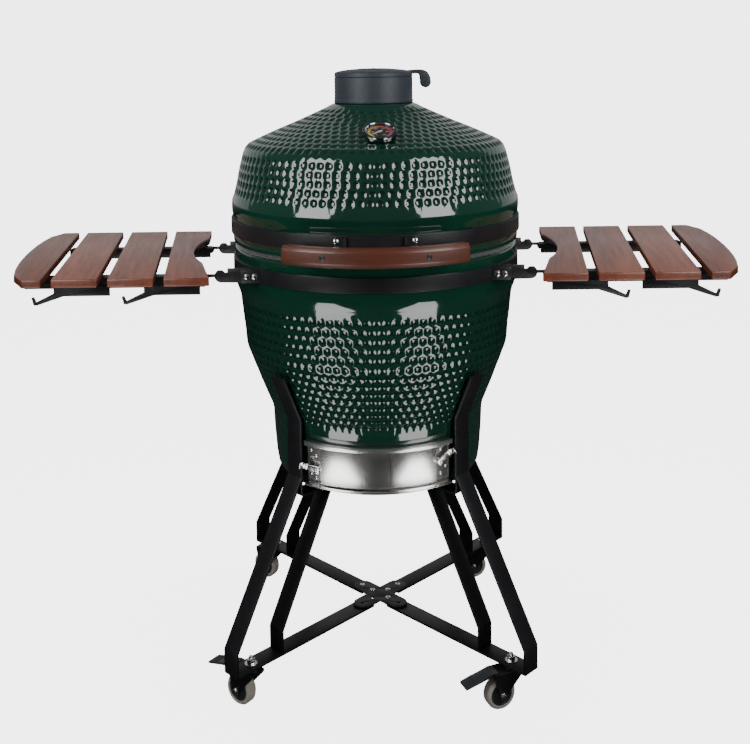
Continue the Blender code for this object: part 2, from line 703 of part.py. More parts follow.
def draft_latches():
    """Flat levers in front of the frame, each on a short boss that turns on the frame's face."""
    frame_face = max(radius for radius, z in DRAFT_FRAME_SECTION if 0.44 < z < 0.4990)
    boss_end = LATCH_R - frame_face - GAP
    for side, turn in LATCH_TURN.items():
        name = "draft_latch_" + side
        lever = plate("latch_lever", [LATCH_OUTLINE], 0.0, LATCH_THICK)
        lift = Matrix.Rotation(math.radians(90), 4, "X")
        lever.data.transform(lift @ Matrix.Rotation(math.radians(LATCH_POINTS[side]), 4, "Z"))
        boss = rod("latch_boss", (0.0, -LATCH_THICK / 2, 0.0), (0.0, boss_end, 0.0), LATCH_BOSS_RADIUS)
        latch = helper(name, settled(joined(lever, boss)))
        angle = math.radians(FRONT + turn)
        latch.location = (LATCH_R * math.cos(angle), LATCH_R * math.sin(angle), LATCH_Z[side])
        latch.rotation_euler = (0.0, 0.0, math.radians(turn))
        as_part(latch, name, "stainless", smooth=False)


def board_edge(index, y):
    """X of a shelf board's inner edge at a given Y."""
    return BOARD_FIRST + index * BOARD_PITCH + BOARD_SPLAY * y


def board_outline(index):
    front, back = BOARD_ENDS
    if index == 3:
        points = [(board_edge(3, front), front)]
        middle = (front + back) / 2
        half = (back - front) / 2
        for step in range(11):
            y = front + (back - front) * step / 10
            share = 1.0 - ((y - middle) / half) ** 2
            wide = OUTER_BOARD_END + (OUTER_BOARD_BULGE - OUTER_BOARD_END) * math.sqrt(share)
            points.append((board_edge(3, y) + wide, y))
        return points + [(board_edge(3, back), back)]
    points = [(board_edge(index, front) + BOARD_WIDE, front)]
    points.append((board_edge(index, back) + BOARD_WIDE, back))
    points.append((board_edge(index, back), back))
    if index == 0:
        for step in range(11):
            angle = math.radians(18.0 - 44.0 * step / 10)
            x = CUT_CENTRE[0] + CUT_RADIUS * math.cos(angle)
            y = CUT_CENTRE[1] + CUT_RADIUS * math.sin(angle)
            if x > board_edge(0, y):
                points.append((x, y))
    return points + [(board_edge(index, front), front)]


def pivot_point(place):
    """The pivot of a shelf bracket on the right: its X and Y."""
    y = RAIL_Y[place]
    return math.sqrt(LOWER_BAND["outer"] ** 2 - y**2) + BRACKET_REACH - PIVOT_BACK, y


def fold_direction():
    front = Vector(pivot_point("front"))
    back = Vector(pivot_point("back"))
    run = (back - front).normalized()
    return Vector((run.x, run.y, 0.0))


def shelf_bracket(place):
    """An upright plate from the band with a pin, a notch in its top and a rounded nose."""
    x, y = pivot_point(place)
    half = BRACKET_THICK / 2
    low, high = LOWER_BAND["bottom"], LOWER_BAND["top"]
    start = math.sqrt(LOWER_BAND["outer"] ** 2 - (abs(y) - half) ** 2) - 0.02
    notch_floor = PIVOT_Z + NOTCH["rise"]
    outline = [(start, low)] + arc((x, PIVOT_Z), PIVOT_BACK, -88.0, 60.0, 8)
    outline += [(x - NOTCH["near"], high - 0.004), (x - NOTCH["near"], notch_floor)]
    outline += [(x - NOTCH["far"], notch_floor), (x - NOTCH["far"], high), (start, high)]
    body = upright("shelf_bracket", [outline], y - half, y + half)
    foot = BRACKET_FOOT
    root = x - BRACKET_REACH
    foot_low = (root - foot["back"], y - foot["half"], low + foot["inset"])
    foot_high = (root + foot["out"], y + foot["half"], high - foot["inset"])
    joined(body, box("bracket_foot", foot_low, foot_high))
    cut(body, cylinder_clear(LOWER_BAND["outer"] + GAP, "bracket"))
    middle = Vector((x, y, PIVOT_Z))
    pin = rod("bracket_pin", middle, middle + fold_direction() * PIVOT_LENGTH, PIVOT_RADIUS)
    return joined(body, pin)


def shelf_rail(place):
    """An angle bar under the boards, with a rod and an eye that turns on the bracket's pin."""
    x, y = pivot_point(place)
    top = SHELF_TOP - BOARD_THICK - GAP
    front = y - RAIL_FLANGE / 2
    back = y + RAIL_FLANGE / 2
    section = [
        (front, top), (front, top - RAIL_DROP), (front + RAIL_THICK, top - RAIL_DROP),
        (front + RAIL_THICK, top - RAIL_THICK), (back, top - RAIL_THICK), (back, top),
    ]
    start = x + RAIL_START
    body = endways("shelf_rail", [section], start, RAIL_END)
    run = fold_direction()
    eye_middle = Vector((x, y, PIVOT_Z)) + run * EYE_ALONG
    turn = Matrix.Rotation(-math.atan2(run.x, run.y), 4, "Z")
    rings = [circle((0, 0), EYE_RADIUS, 20), circle((0, 0), EYE_HOLE, 16)]
    eye = upright("rail_eye", rings, -EYE_HALF, EYE_HALF)
    eye.data.transform(Matrix.Translation(eye_middle) @ turn)
    rod_z = PIVOT_Z - 0.001
    rod_start = (x + (EYE_RADIUS + EYE_HOLE) / 2, eye_middle.y, rod_z)
    reach = rod("rail_rod", rod_start, (start + 0.020, eye_middle.y, rod_z), ROD_RADIUS, 12)
    lug_low = (start - LUG["back"], front + LUG["inset"], PIVOT_Z - LUG["drop"])
    lug_high = (start + LUG["out"], back - LUG["inset"], top - LUG["inset"])
    joined(body, eye, reach, box("rail_lug", lug_low, lug_high))
    if place == "front":
        for hook_start in HOOK_STARTS:
            outline = hook_outline(hook_start)
            joined(body, upright("tool_hook", [outline], front + HOOK_Y[0], front + HOOK_Y[1]))
    return body


def hook_outline(start):
    """A strip under the rail that slopes down and out to an upturned tip."""
    end = start + HOOK_PLATE
    low, high = HOOK_Z
    tip = end + HOOK_ARM
    floor = low - HOOK_DROP
    return [
        (start, high), (start, low), (end - 0.020, low), (tip - 0.004, floor),
        (tip + 0.002, floor + 0.001), (tip + 0.006, floor + 0.016), (tip + 0.001, floor + 0.017),
        (tip - 0.003, floor + 0.007), (end, low + 0.006), (end, high),
    ]


def shelf(side, name):
    """One folding shelf with its two fixed brackets. The side is +1 on the right, -1 on the left."""
    boards = []
    for index in range(4):
        label = f"shelf_board_{name}_{index + 1}"
        outline = [(side * x, y) for x, y in board_outline(index)]
        made = plate(label, [outline], SHELF_TOP - BOARD_THICK, SHELF_TOP)
        boards.append(as_part(made, label, "stained_wood", smooth=False))
    for place in ("front", "back"):
        for kind, source in (("bracket", BRACKETS[place]), ("rail", RAILS[place])):
            label = f"shelf_{kind}_{place}_{name}"
            mesh = source.copy() if side > 0 else mirrored(source, label)
            made = as_part(helper(label, mesh), label, "black_steel", smooth=False)
            if kind == "rail":
                boards.append(made)
    x, y = pivot_point("front")
    hang(empty(f"fold_{name}", (side * x, y, PIVOT_Z)), *boards)


def stand_leg():
    """One leg in the XZ plane: cradle, outer bar, inner bar, foot arm and top link in one weldment."""
    arm_path = [(ARM_INNER, ARM_Z), (CRADLE_PATH[-1][0], ARM_Z)]
    half = BAR_WIDE / 2
    body = upright("leg", [bent_bar(CRADLE_PATH, BAR)], -half, half)
    for path in (arm_path, INNER_PATH, LINK_PATH):
        half -= WELD_STEP
        joined(body, upright("leg_bar", [bent_bar(path, BAR)], -half, half))
    return settled(body)


def stand():
    leg_mesh = stand_leg()
    for name, angle in LEG_ANGLES.items():
        made = helper("leg_" + name, leg_mesh)
        made.rotation_euler = (0.0, 0.0, math.radians(angle))
        as_part(made, "leg_" + name, "black_steel", smooth=False)
    inner, outer = RING_RADII
    low, high = RING_Z
    ring("stand_ring", inner, outer, low, high, "black_steel")
    size = CROSS_PLATE
    outline = []
    holes = []
    for turn in (45.0, 135.0, 225.0, 315.0):
        angle = math.radians(turn)
        centre = (size["reach"] * math.cos(angle), size["reach"] * math.sin(angle))
        outline += arc(centre, size["half"], turn - 90.0, turn + 90.0, 9)
        corner = math.radians(turn + 45.0)
        reach = size["half"] * math.sqrt(2.0)
        outline.append((reach * math.cos(corner), reach * math.sin(corner)))
        for radius in CROSS_HOLES:
            holes.append(
                circle((radius * math.cos(angle), radius * math.sin(angle)), CROSS_HOLE_RADIUS, 8)
            )
    low = ARM_Z + BAR / 2 + GAP
    made = plate("cross_plate", [outline] + holes, low, low + size["thick"])
    as_part(made, "cross_plate", "black_steel", smooth=False)


def caster_fork():
    """The fork in its own frame: the swivel axis is Z, and it trails along +X."""
    inner, outer = CHEEK_Y
    drop = WHEEL_RADIUS - CASTER_TOP
    crown = box(
        "caster_fork", (CROWN["front"], -outer, CROWN["bottom"]), (CROWN["back"], outer, CROWN["top"])
    )
    boss = rod("fork_boss", (0, 0, -0.0080), (0, 0, -GAP), BOSS_RADIUS, 20)
    foot = arc((CASTER_TRAIL, drop), CHEEK_FOOT_RADIUS, 180.0, 340.0, 7)
    cheek = CHEEK_FRONT + foot + CHEEK_BACK
    inside = outer - 0.0001
    left = upright("fork_cheek", [cheek], -inside, -inner)
    right = upright("fork_cheek", [cheek], inner, inside)
    end = outer + AXLE_PROUD
    axle = rod("fork_axle", (CASTER_TRAIL, -end, drop), (CASTER_TRAIL, end, drop), AXLE_RADIUS)
    return settled(joined(crown, boss, left, right, axle))


def caster_wheel():
    """A wheel about its own Z axis."""
    lower = [(radius, -z) for radius, z in reversed(WHEEL_SECTION)]
    return settled(turned("caster_wheel", WHEEL_SECTION + lower, steps=SMALL_STEPS))


def brake_pedal():
    """A foot pedal about its own pivot, at the back of the fork's crown."""
    return settled(upright("brake_pedal", [PEDAL_OUTLINE], -PEDAL_HALF, PEDAL_HALF))


def casters():
    fork_mesh = caster_fork()
    wheel_mesh = caster_wheel()
    pedal_mesh = brake_pedal()
    for place, angle in LEG_ANGLES.items():
        turn = math.radians(angle)
        top = (CASTER_R * math.cos(turn), CASTER_R * math.sin(turn), CASTER_TOP)
        swivel = empty("swivel_" + place, top, CASTER_HEADINGS[place])
        name = "caster_fork_" + place
        fork = as_part(helper(name, fork_mesh), name, "black_steel")
        fork.parent = swivel
        name = "caster_wheel_" + place
        wheel = as_part(helper(name, wheel_mesh), name, "pale_rubber")
        wheel.parent = swivel
        wheel.location = (CASTER_TRAIL, 0.0, WHEEL_RADIUS - CASTER_TOP)
        wheel.rotation_euler = (math.radians(90), 0.0, 0.0)
        if place.startswith("front"):
            name = "brake_pedal_" + place.removeprefix("front_")
            pedal = as_part(helper(name, pedal_mesh), name, "black_steel", smooth=False)
            pedal.parent = swivel
            pedal.location = (PEDAL_PIVOT[0], 0.0, PEDAL_PIVOT[1])


clear_scene()
PARTS = new_collection("kamado_grill")
HELPERS = new_collection("helpers")
MADE = {name: make_material(name) for name in MATERIALS}

ceramic_base()
grate("charcoal_grate", CHARCOAL_GRATE)
grate("cooking_grate", COOKING_GRATE)
upper_gasket, upper_band = gaskets_and_bands()
upper_hinge = lid_hinge()
gauge, stem_hole = thermometer()
lid = dome_lid(stem_hole)
vent_body, vent_cap = vent()
lid_empty = empty("lid_pivot", (0.0, HINGE_Y, HINGE_Z))
hang(lid_empty, lid, upper_gasket, upper_band, upper_hinge, vent_body, vent_cap, *gauge, *handle())
draft_door()
draft_latches()
BRACKETS = {place: settled(shelf_bracket(place)) for place in ("front", "back")}
RAILS = {place: settled(shelf_rail(place)) for place in ("front", "back")}
shelf(-1, "left")
shelf(1, "right")
stand()
casters()
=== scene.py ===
"""The finished look of a ceramic kamado grill: dimpled shells, stained wood, coated steel and casters."""

import math
import random

import bmesh
import bpy
from bpy.props import FloatProperty, FloatVectorProperty, IntProperty, PointerProperty
from mathutils import Matrix, Vector
from mathutils.bvhtree import BVHTree


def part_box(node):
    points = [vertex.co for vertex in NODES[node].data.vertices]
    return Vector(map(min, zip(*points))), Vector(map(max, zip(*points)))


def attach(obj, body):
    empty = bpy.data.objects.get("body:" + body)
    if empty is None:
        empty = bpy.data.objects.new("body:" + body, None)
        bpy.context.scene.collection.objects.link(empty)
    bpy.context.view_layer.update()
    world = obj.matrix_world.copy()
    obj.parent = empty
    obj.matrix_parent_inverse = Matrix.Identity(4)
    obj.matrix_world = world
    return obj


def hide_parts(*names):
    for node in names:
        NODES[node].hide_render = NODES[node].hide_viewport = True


bl_info = {
    "name": "Kamado Grill",
    "version": (1, 0, 0),
    "blender": (4, 5, 0),
    "location": "View3D > Sidebar > Kamado",
    "description": "Builds the finished surfaces of a ceramic kamado grill around its frame",
    "category": "Object",
}

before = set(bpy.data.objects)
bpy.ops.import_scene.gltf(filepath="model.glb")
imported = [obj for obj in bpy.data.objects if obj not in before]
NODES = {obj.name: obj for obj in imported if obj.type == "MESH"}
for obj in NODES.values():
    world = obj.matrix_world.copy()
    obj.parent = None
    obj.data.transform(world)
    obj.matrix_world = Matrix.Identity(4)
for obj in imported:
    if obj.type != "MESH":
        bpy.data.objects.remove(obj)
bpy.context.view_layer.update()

BASE = "stand_and_base"
LID = "lid"
FRONT = -90.0
UP = Vector((0.0, 0.0, 1.0))
CAMERA_PLACE = (0.0, -2.2062, 1.262)
CAMERA_TILT = 86.0
CAMERA_ROLL = -0.0133
CAMERA_LENS = 49.73
CAMERA_SHIFT = (0.0012, -0.318)
SIDES = {"left": -1.0, "right": 1.0}
LEG_ANGLES = {"front_left": 225.0, "front_right": 315.0, "back_left": 135.0, "back_right": 45.0}
CASTER_HEADINGS = {"front_left": 143.0, "front_right": 202.0, "back_left": 150.0, "back_right": 185.0}

# Lid and base outlines as (radius, height), running down the outside.
LID_TOP = [(0.0600, 1.1745), (0.0830, 1.1742), (0.0930, 1.1700)]
LID_CONE = [
    (0.1054, 1.1635), (0.1351, 1.1502), (0.1638, 1.1375), (0.1945, 1.1250), (0.2240, 1.1125),
    (0.2514, 1.1000), (0.2665, 1.0925), (0.2745, 1.0840),
]
LID_SIDE = [(0.2788, 1.0740), (0.2825, 1.0600), (0.2880, 1.0376), (0.2929, 1.0124), (0.2990, 0.9880)]
LID_LIP = [
    (0.3037, 0.9750), (0.3043, 0.9620), (0.3035, 0.9510), (0.3019, 0.9450), (0.3017, 0.9350),
    (0.3017, 0.8975), (0.3012, 0.8915), (0.2990, 0.8893),
]
LID_INSIDE = [
    (0.2760, 0.8893), (0.2738, 0.8915), (0.2730, 0.9600), (0.2680, 1.0120), (0.2620, 1.0500),
    (0.2520, 1.0700), (0.2350, 1.0820), (0.1900, 1.1010), (0.1200, 1.1310), (0.0750, 1.1500),
    (0.0600, 1.1550),
]
BASE_RIM = [(0.2735, 0.8798), (0.2968, 0.8798), (0.2983, 0.8775), (0.2985, 0.8740)]
BASE_BELT = [(0.2985, 0.8120), (0.2978, 0.8040), (0.2955, 0.7960), (0.2915, 0.7860)]
BASE_BODY = [
    (0.2890, 0.7760), (0.2850, 0.7380), (0.2810, 0.7040), (0.2780, 0.6720), (0.2709, 0.6510),
    (0.2646, 0.6335), (0.2574, 0.6156), (0.2511, 0.5980), (0.2365, 0.5617), (0.2275, 0.5400),
]
BASE_FOOT = [(0.2246, 0.5260), (0.2232, 0.4920), (0.2219, 0.4730), (0.2205, 0.4550), (0.2190, 0.4360),
             (0.2157, 0.4150), (0.2098, 0.4045), (0.1990, 0.4003), (0.0900, 0.4003), (0.0, 0.4003)]
BASE_INSIDE = [
    (0.0, 0.4280), (0.1800, 0.4280), (0.1925, 0.4360), (0.1950, 0.4550), (0.1960, 0.4730),
    (0.1965, 0.4920), (0.2050, 0.5480), (0.2280, 0.6000), (0.2470, 0.6600), (0.2540, 0.7000),
    (0.2660, 0.8000), (0.2715, 0.8770),
]
WINDOW_BOTTOM = 0.436
WINDOW_TOP = 0.492
WINDOW_STEPS = 58
DIMPLE_COLUMNS = 8
DIMPLE_RINGS = 6
SPUN_SECTORS = 20

HINGE = Vector((0.0, 0.357, 0.8845))
GRIP_CENTRE_Y = -0.075
GRIP_RADII = (0.277, 0.300)
GRIP_HALF_ANGLE = 35.6
GRIP_HOLE_X = 0.097
VENT_RADIUS = 0.083
VENT_TOP = 1.2285
VENT_SLOT = (0.022, 0.050)
VENT_SLOT_HALF_ANGLE = 25.0
LEVER_HALF_WIDTH = 0.0075
LEVER_BULB = (0.1105, 1.2165)
LEVER_BULB_RADIUS = 0.0118
GAUGE_SLOPE = 24.0
GAUGE_TURN = 3.0
GAUGE_SEAT = (0.211, 1.1195)
GAUGE_RADIUS = 0.0342
GAUGE_DEEP = 0.0115
GAUGE_BEZEL = 0.0045
DIAL_Z = 0.00537
DIAL_SPAN = (235.0, -55.0)
DIAL_ARC = (0.0188, 0.0238)
DIAL_MARKS = 25
DIAL_NUMBERS = 5
DIAL_NUMBER_REACH = 0.0140
DRAFT_SHEET = (0.2250, 0.2268)
DRAFT_RAIL_OUT = 0.2385
DRAFT_HALF_ANGLE = 38.5
DRAFT_WINDOW_HALF = 27.5
RING_INNER = 0.130
CASTER_TOP = 0.0837
CASTER_REACH = 0.360
CASTER_TRAIL = 0.027
WHEEL_RADIUS = 0.031
BOARD_SPLAY = 0.146
BOARD_START = 0.3976
BOARD_PITCH = 0.1055
SHELF_RAIL_Y = {"front": -0.186, "back": 0.124}
# Each latch's place round the base, the way it points and its height.
LATCHES = {"left": (-31.8, 170.0, 0.453), "right": (31.8, 35.0, 0.468)}


# ---------------------------------------------------------------- settings

class CeramicSettings(bpy.types.PropertyGroup):
    glaze: FloatVectorProperty(
        name="Glaze", description="Colour of the glaze on the high ground", subtype="COLOR",
        default=(0.0034, 0.0285, 0.0165), min=0.0, max=1.0)
    pooled: FloatVectorProperty(
        name="Pooled glaze", description="Colour of the glaze where it pools", subtype="COLOR",
        default=(0.0015, 0.0130, 0.0080), min=0.0, max=1.0)
    dimples_round: IntProperty(
        name="Dimples round", description="Dimples in each row", default=100, min=20, max=200)
    full_radius: FloatProperty(
        name="Full row radius", description="Radius at which a row holds every dimple", default=0.290,
        unit="LENGTH")
    dimple_depth: FloatProperty(
        name="Dimple depth", description="Depth at a dimple's middle", default=0.0027, unit="LENGTH")
    lid_pitch: FloatProperty(
        name="Lid row pitch", description="From one row to the next", default=0.0188, unit="LENGTH")
    base_pitch: FloatProperty(
        name="Base row pitch", description="From one row to the next at the widest row", default=0.0196,
        unit="LENGTH")


class WoodSettings(bpy.types.PropertyGroup):
    stain: FloatVectorProperty(
        name="Stain", description="Main colour of the stained wood", subtype="COLOR",
        default=(0.150, 0.036, 0.015), min=0.0, max=1.0)
    dark: FloatVectorProperty(
        name="Dark grain", description="Colour of the grain lines", subtype="COLOR",
        default=(0.045, 0.012, 0.007), min=0.0, max=1.0)
    edge: FloatProperty(
        name="Board edge", description="Width of the rounding on a board's edge", default=0.0022,
        unit="LENGTH")
    grip_edge: FloatProperty(
        name="Grip chamfer", description="Width of the chamfer round the grip", default=0.0080,
        unit="LENGTH")


class SteelSettings(bpy.types.PropertyGroup):
    coat: FloatVectorProperty(
        name="Powder coat", description="Colour of the coated steel", subtype="COLOR",
        default=(0.0055, 0.0055, 0.0065), min=0.0, max=1.0)
    casting: FloatVectorProperty(
        name="Casting", description="Colour of the painted casting", subtype="COLOR",
        default=(0.022, 0.028, 0.036), min=0.0, max=1.0)
    bar_width: FloatProperty(
        name="Bar width", description="Width of the stand's flat bar", default=0.040, unit="LENGTH")
    bar_thick: FloatProperty(
        name="Bar thickness", description="Thickness of the flat bar", default=0.005, unit="LENGTH")
    bend: FloatProperty(
        name="Bend radius", description="Radius at the middle of a bend", default=0.009, unit="LENGTH")


class StudioSettings(bpy.types.PropertyGroup):
    floor: FloatVectorProperty(
        name="Floor", description="Colour of the floor and background", subtype="COLOR",
        default=(0.45, 0.45, 0.45), min=0.0, max=1.0)
    glow: FloatProperty(
        name="Backdrop glow", description="Light added to the backdrop as the camera sees it", default=4.2)
    mirrored: FloatProperty(
        name="Mirrored backdrop", description="Light of the backdrop in the grill's gloss", default=0.40)
    softbox_power: FloatProperty(
        name="Softbox power", description="Power of each upper softbox in watts", default=13.0)
    ambient: FloatProperty(
        name="Ambient", description="Strength of the even light all round", default=0.10)


# ---------------------------------------------------------------- shader expressions

class Signal:
    """A value that varies over a surface. Arithmetic on it adds Math nodes."""

    def __init__(self, tree, socket):
        self.tree = tree
        self.socket = socket

    def math(self, operation, *values):
        node = self.tree.nodes.new("ShaderNodeMath")
        node.operation = operation
        for entry, value in zip(node.inputs, values):
            join(self.tree, value, entry)
        return Signal(self.tree, node.outputs[0])

    def __add__(self, other):
        return self.math("ADD", self, other)

    def __radd__(self, other):
        return self.math("ADD", other, self)

    def __sub__(self, other):
        return self.math("SUBTRACT", self, other)

    def __rsub__(self, other):
        return self.math("SUBTRACT", other, self)

    def __mul__(self, other):
        return self.math("MULTIPLY", self, other)

    def __rmul__(self, other):
        return self.math("MULTIPLY", other, self)

    def __pow__(self, other):
        return self.math("POWER", self, other)

    def clipped(self):
        return self.math("MAXIMUM", self.math("MINIMUM", self, 1.0), 0.0)


def join(tree, value, entry):
    """Links a signal to a socket, or sets the socket to a plain value."""
    if isinstance(value, Signal):
        tree.links.new(value.socket, entry)
    elif hasattr(entry.default_value, "__len__") and len(entry.default_value) == 4 and len(value) == 3:
        entry.default_value = (*value, 1.0)
    else:
        entry.default_value = value


class Finish:
    """One procedural material, built on a Principled shader."""

    def __init__(self, name, constants):
        self.material = bpy.data.materials.new(name)
        self.material.use_nodes = True
        self.tree = self.material.node_tree
        self.shader = self.tree.nodes["Principled BSDF"]
        for socket, value in constants.items():
            join(self.tree, value, self.shader.inputs[socket])

    def node(self, kind, settings=None, inputs=None, output=0):
        """Adds a node, sets its settings, then fills its sockets, and gives one output."""
        made = self.tree.nodes.new(kind)
        for name, value in (settings or {}).items():
            setattr(made, name, value)
        for name, value in (inputs or {}).items():
            join(self.tree, value, made.inputs[name])
        return Signal(self.tree, made.outputs[output])

    def place(self, scale=(1.0, 1.0, 1.0), turn=0.0):
        here = self.node("ShaderNodeTexCoord", output="Object")
        return self.node("ShaderNodeMapping", inputs={
            "Vector": here, "Scale": scale, "Rotation": (0.0, 0.0, turn)})

    def attribute(self, name, output):
        return self.node("ShaderNodeAttribute", {"attribute_name": name}, output=output)

    def noise(self, place, scale, detail=3.0, rough=0.5):
        return self.node("ShaderNodeTexNoise", inputs={
            "Vector": place, "Scale": scale, "Detail": detail, "Roughness": rough})

    def blend(self, amount, first, second):
        mix = self.tree.nodes.new("ShaderNodeMix")
        mix.data_type = "RGBA"
        join(self.tree, amount, mix.inputs[0])
        join(self.tree, first, mix.inputs[6])
        join(self.tree, second, mix.inputs[7])
        return Signal(self.tree, mix.outputs[2])

    def bump(self, height, distance, strength=1.0):
        normal = self.node("ShaderNodeBump", inputs={
            "Height": height, "Distance": distance, "Strength": strength})
        self.vary("Normal", normal)

    def vary(self, socket, value):
        join(self.tree, value, self.shader.inputs[socket])


def green_glaze():
    look = bpy.context.scene.kamado_ceramic
    glaze = Finish("green_glaze", {"IOR": 1.55, "Coat Roughness": 0.03})
    cloud = glaze.noise(glaze.place(), 14.0)
    speck = glaze.noise(glaze.place(), 210.0, 2.0)
    pool = glaze.attribute("pool", "Fac")
    colour = glaze.blend((pool * 0.8 + cloud * 0.25).clipped(), look.glaze, look.pooled)
    glaze.vary("Base Color", colour)
    glaze.vary("Roughness", 0.055 + cloud * 0.05 + speck * 0.02)
    glaze.vary("Coat Weight", 0.55 + cloud * 0.3)
    glaze.bump(cloud * 0.6 + speck * 0.08, 0.0009, 0.5)
    return glaze.material


def fired_clay():
    clay = Finish("fired_clay", {"IOR": 1.45})
    cloud = clay.noise(clay.place(), 9.0, 5.0)
    grit = clay.noise(clay.place(), 480.0, 2.0)
    clay.vary("Base Color", clay.blend((cloud * 0.8 + grit * 0.3).clipped(),
                                       (0.58, 0.50, 0.39), (0.37, 0.29, 0.21)))
    clay.vary("Roughness", 0.78 + grit * 0.15)
    clay.bump(grit, 0.0006, 0.5)
    return clay.material


def mottled(name, constants, colours, cloud, grain=None, amount=1.0, rough=(0.5, 0.0, 0.1), bump=None):
    """A finish that clouds from one colour to another. Its finer grain roughens it and lifts it a little."""
    finish = Finish(name, constants)
    soft = finish.noise(finish.place(), *cloud)
    fine = finish.noise(finish.place(), *grain) if grain else soft
    finish.vary("Base Color", finish.blend(soft * amount, *colours))
    even, clouded, grained = rough
    finish.vary("Roughness", even + soft * clouded + fine * grained)
    if bump:
        finish.bump(fine, *bump)
    return finish.material


def powder_coat(name="powder_coat", colour=None, grain=0.00018):
    base = tuple(colour or bpy.context.scene.kamado_steel.coat)
    lighter = tuple(channel * 2.0 + 0.001 for channel in base)
    return mottled(name, {"IOR": 1.4, "Metallic": 0.0}, (base, lighter), (22.0,), (900.0, 2.0), 0.7,
                   (0.26, 0.12, 0.08), (grain, 0.7))


def painted_casting():
    base = tuple(bpy.context.scene.kamado_steel.casting)
    lighter = tuple(channel * 1.5 for channel in base)
    return mottled("painted_casting", {"IOR": 1.5, "Metallic": 0.15}, (base, lighter), (30.0,),
                   (620.0, 4.0, 0.65), 0.8, (0.40, 0.0, 0.18), (0.00045, 0.8))


def seasoned_iron():
    return mottled("seasoned_iron", {"IOR": 1.5, "Metallic": 0.35},
                   ((0.020, 0.019, 0.019), (0.060, 0.052, 0.046)), (40.0, 4.0), (700.0, 3.0),
                   rough=(0.48, 0.0, 0.25), bump=(0.0006, 0.8))


def brushed_stainless():
    steel = Finish("brushed_stainless", {"Metallic": 1.0})
    streak = steel.noise(steel.place((6.0, 6.0, 1400.0)), 1.0, 3.0, 0.6)
    smear = steel.noise(steel.place(), 18.0)
    steel.vary("Base Color", steel.blend(streak, (0.72, 0.71, 0.69), (0.84, 0.83, 0.81)))
    steel.vary("Roughness", 0.17 + streak * 0.08 + smear * 0.06)
    steel.bump(streak, 0.00004, 0.5)
    return steel.material


def bright_plate():
    return mottled("bright_plate", {"Metallic": 1.0}, ((0.66, 0.66, 0.67), (0.80, 0.80, 0.80)), (60.0,),
                   rough=(0.09, 0.0, 0.12))


def dark_plate():
    return mottled("dark_plate", {"Metallic": 1.0}, ((0.20, 0.20, 0.21), (0.34, 0.34, 0.35)), (80.0,),
                   rough=(0.10, 0.0, 0.10))


def stained_wood(name, shade):
    look = bpy.context.scene.kamado_wood
    wood = Finish(name, {"IOR": 1.5, "Coat Roughness": 0.16})
    grain = wood.attribute("grain", "Vector")
    long = wood.node("ShaderNodeMapping", inputs={"Vector": grain, "Scale": (7.0, 95.0, 95.0)})
    wavy = wood.node("ShaderNodeMapping", inputs={"Vector": grain, "Scale": (3.0, 22.0, 22.0)})
    pores = wood.node("ShaderNodeMapping", inputs={"Vector": grain, "Scale": (60.0, 1300.0, 1300.0)})
    lines = wood.noise(long, 1.0, 5.0, 0.62)
    bands = wood.noise(wavy, 1.0, 3.0, 0.5)
    pits = wood.noise(pores, 1.0, 2.0)
    stain = tuple(channel * shade for channel in look.stain)
    dark = tuple(channel * shade for channel in look.dark)
    amount = ((lines - 0.32) * 1.7 + (bands - 0.5) * 0.9).clipped()
    toned = wood.blend(amount, stain, dark)
    pitted = ((pits - 0.58) * 4.0).clipped()
    wood.vary("Base Color", wood.blend(pitted * 0.6, toned, tuple(channel * 0.5 for channel in dark)))
    wood.vary("Roughness", 0.30 + lines * 0.16 + pitted * 0.12)
    wood.vary("Coat Weight", 0.35 - pitted * 0.2)
    wood.bump(lines * 0.4 - pitted * 0.6, 0.00022, 0.7)
    return wood.material


def pale_tyre():
    return mottled("pale_tyre", {"IOR": 1.45}, ((0.47, 0.44, 0.38), (0.30, 0.28, 0.24)), (55.0, 4.0),
                   (420.0, 3.0), rough=(0.52, 0.0, 0.2), bump=(0.0003, 0.6))


def felt():
    return mottled("felt", {"Sheen Weight": 0.4, "IOR": 1.3},
                   ((0.012, 0.012, 0.012), (0.060, 0.058, 0.055)), (900.0, 5.0, 0.7),
                   rough=(0.85, 0.0, 0.12), bump=(0.0012, 0.8))


def enamel(name, colour):
    """A printed or painted surface on the dial and its needle, also the black of the painted shade at the
    grip's screw holes.
    """
    darker = tuple(channel * 0.75 for channel in colour)
    return mottled(name, {"IOR": 1.45}, (colour, darker), (300.0,), rough=(0.35, 0.0, 0.1))


def clear_glass():
    glass = Finish("clear_glass", {"Transmission Weight": 1.0, "IOR": 1.45, "Base Color": (1.0, 1.0, 1.0)})
    smear = glass.noise(glass.place(), 90.0)
    glass.vary("Roughness", 0.005 + smear * 0.02)
    return glass.material


FINISHES = {}


def make_finishes():
    FINISHES.update({
        "glaze": green_glaze(), "clay": fired_clay(), "coat": powder_coat(),
        "hub": powder_coat("hub_plastic", (0.030, 0.031, 0.034), 0.0003),
        "rail": powder_coat("dark_stainless", (0.10, 0.10, 0.10), 0.0001),
        "casting": painted_casting(), "iron": seasoned_iron(), "stainless": brushed_stainless(),
        "bright": bright_plate(), "bezel": dark_plate(), "tyre": pale_tyre(), "felt": felt(),
        "glass": clear_glass(),
        "board_1": stained_wood("stained_board", 1.0), "board_2": stained_wood("stained_board_dark", 0.72),
        "grip": stained_wood("stained_grip", 0.62),
        "black": enamel("dial_black", (0.010, 0.010, 0.011)),
        "cream": enamel("dial_cream", (0.78, 0.76, 0.68)),
        "yellow": enamel("dial_yellow", (0.72, 0.58, 0.09)),
        "orange": enamel("dial_orange", (0.72, 0.27, 0.08)),
        "red": enamel("dial_red", (0.60, 0.055, 0.065)),
        "rose": enamel("dial_rose", (0.55, 0.13, 0.24)),
    })


# ---------------------------------------------------------------- shapes

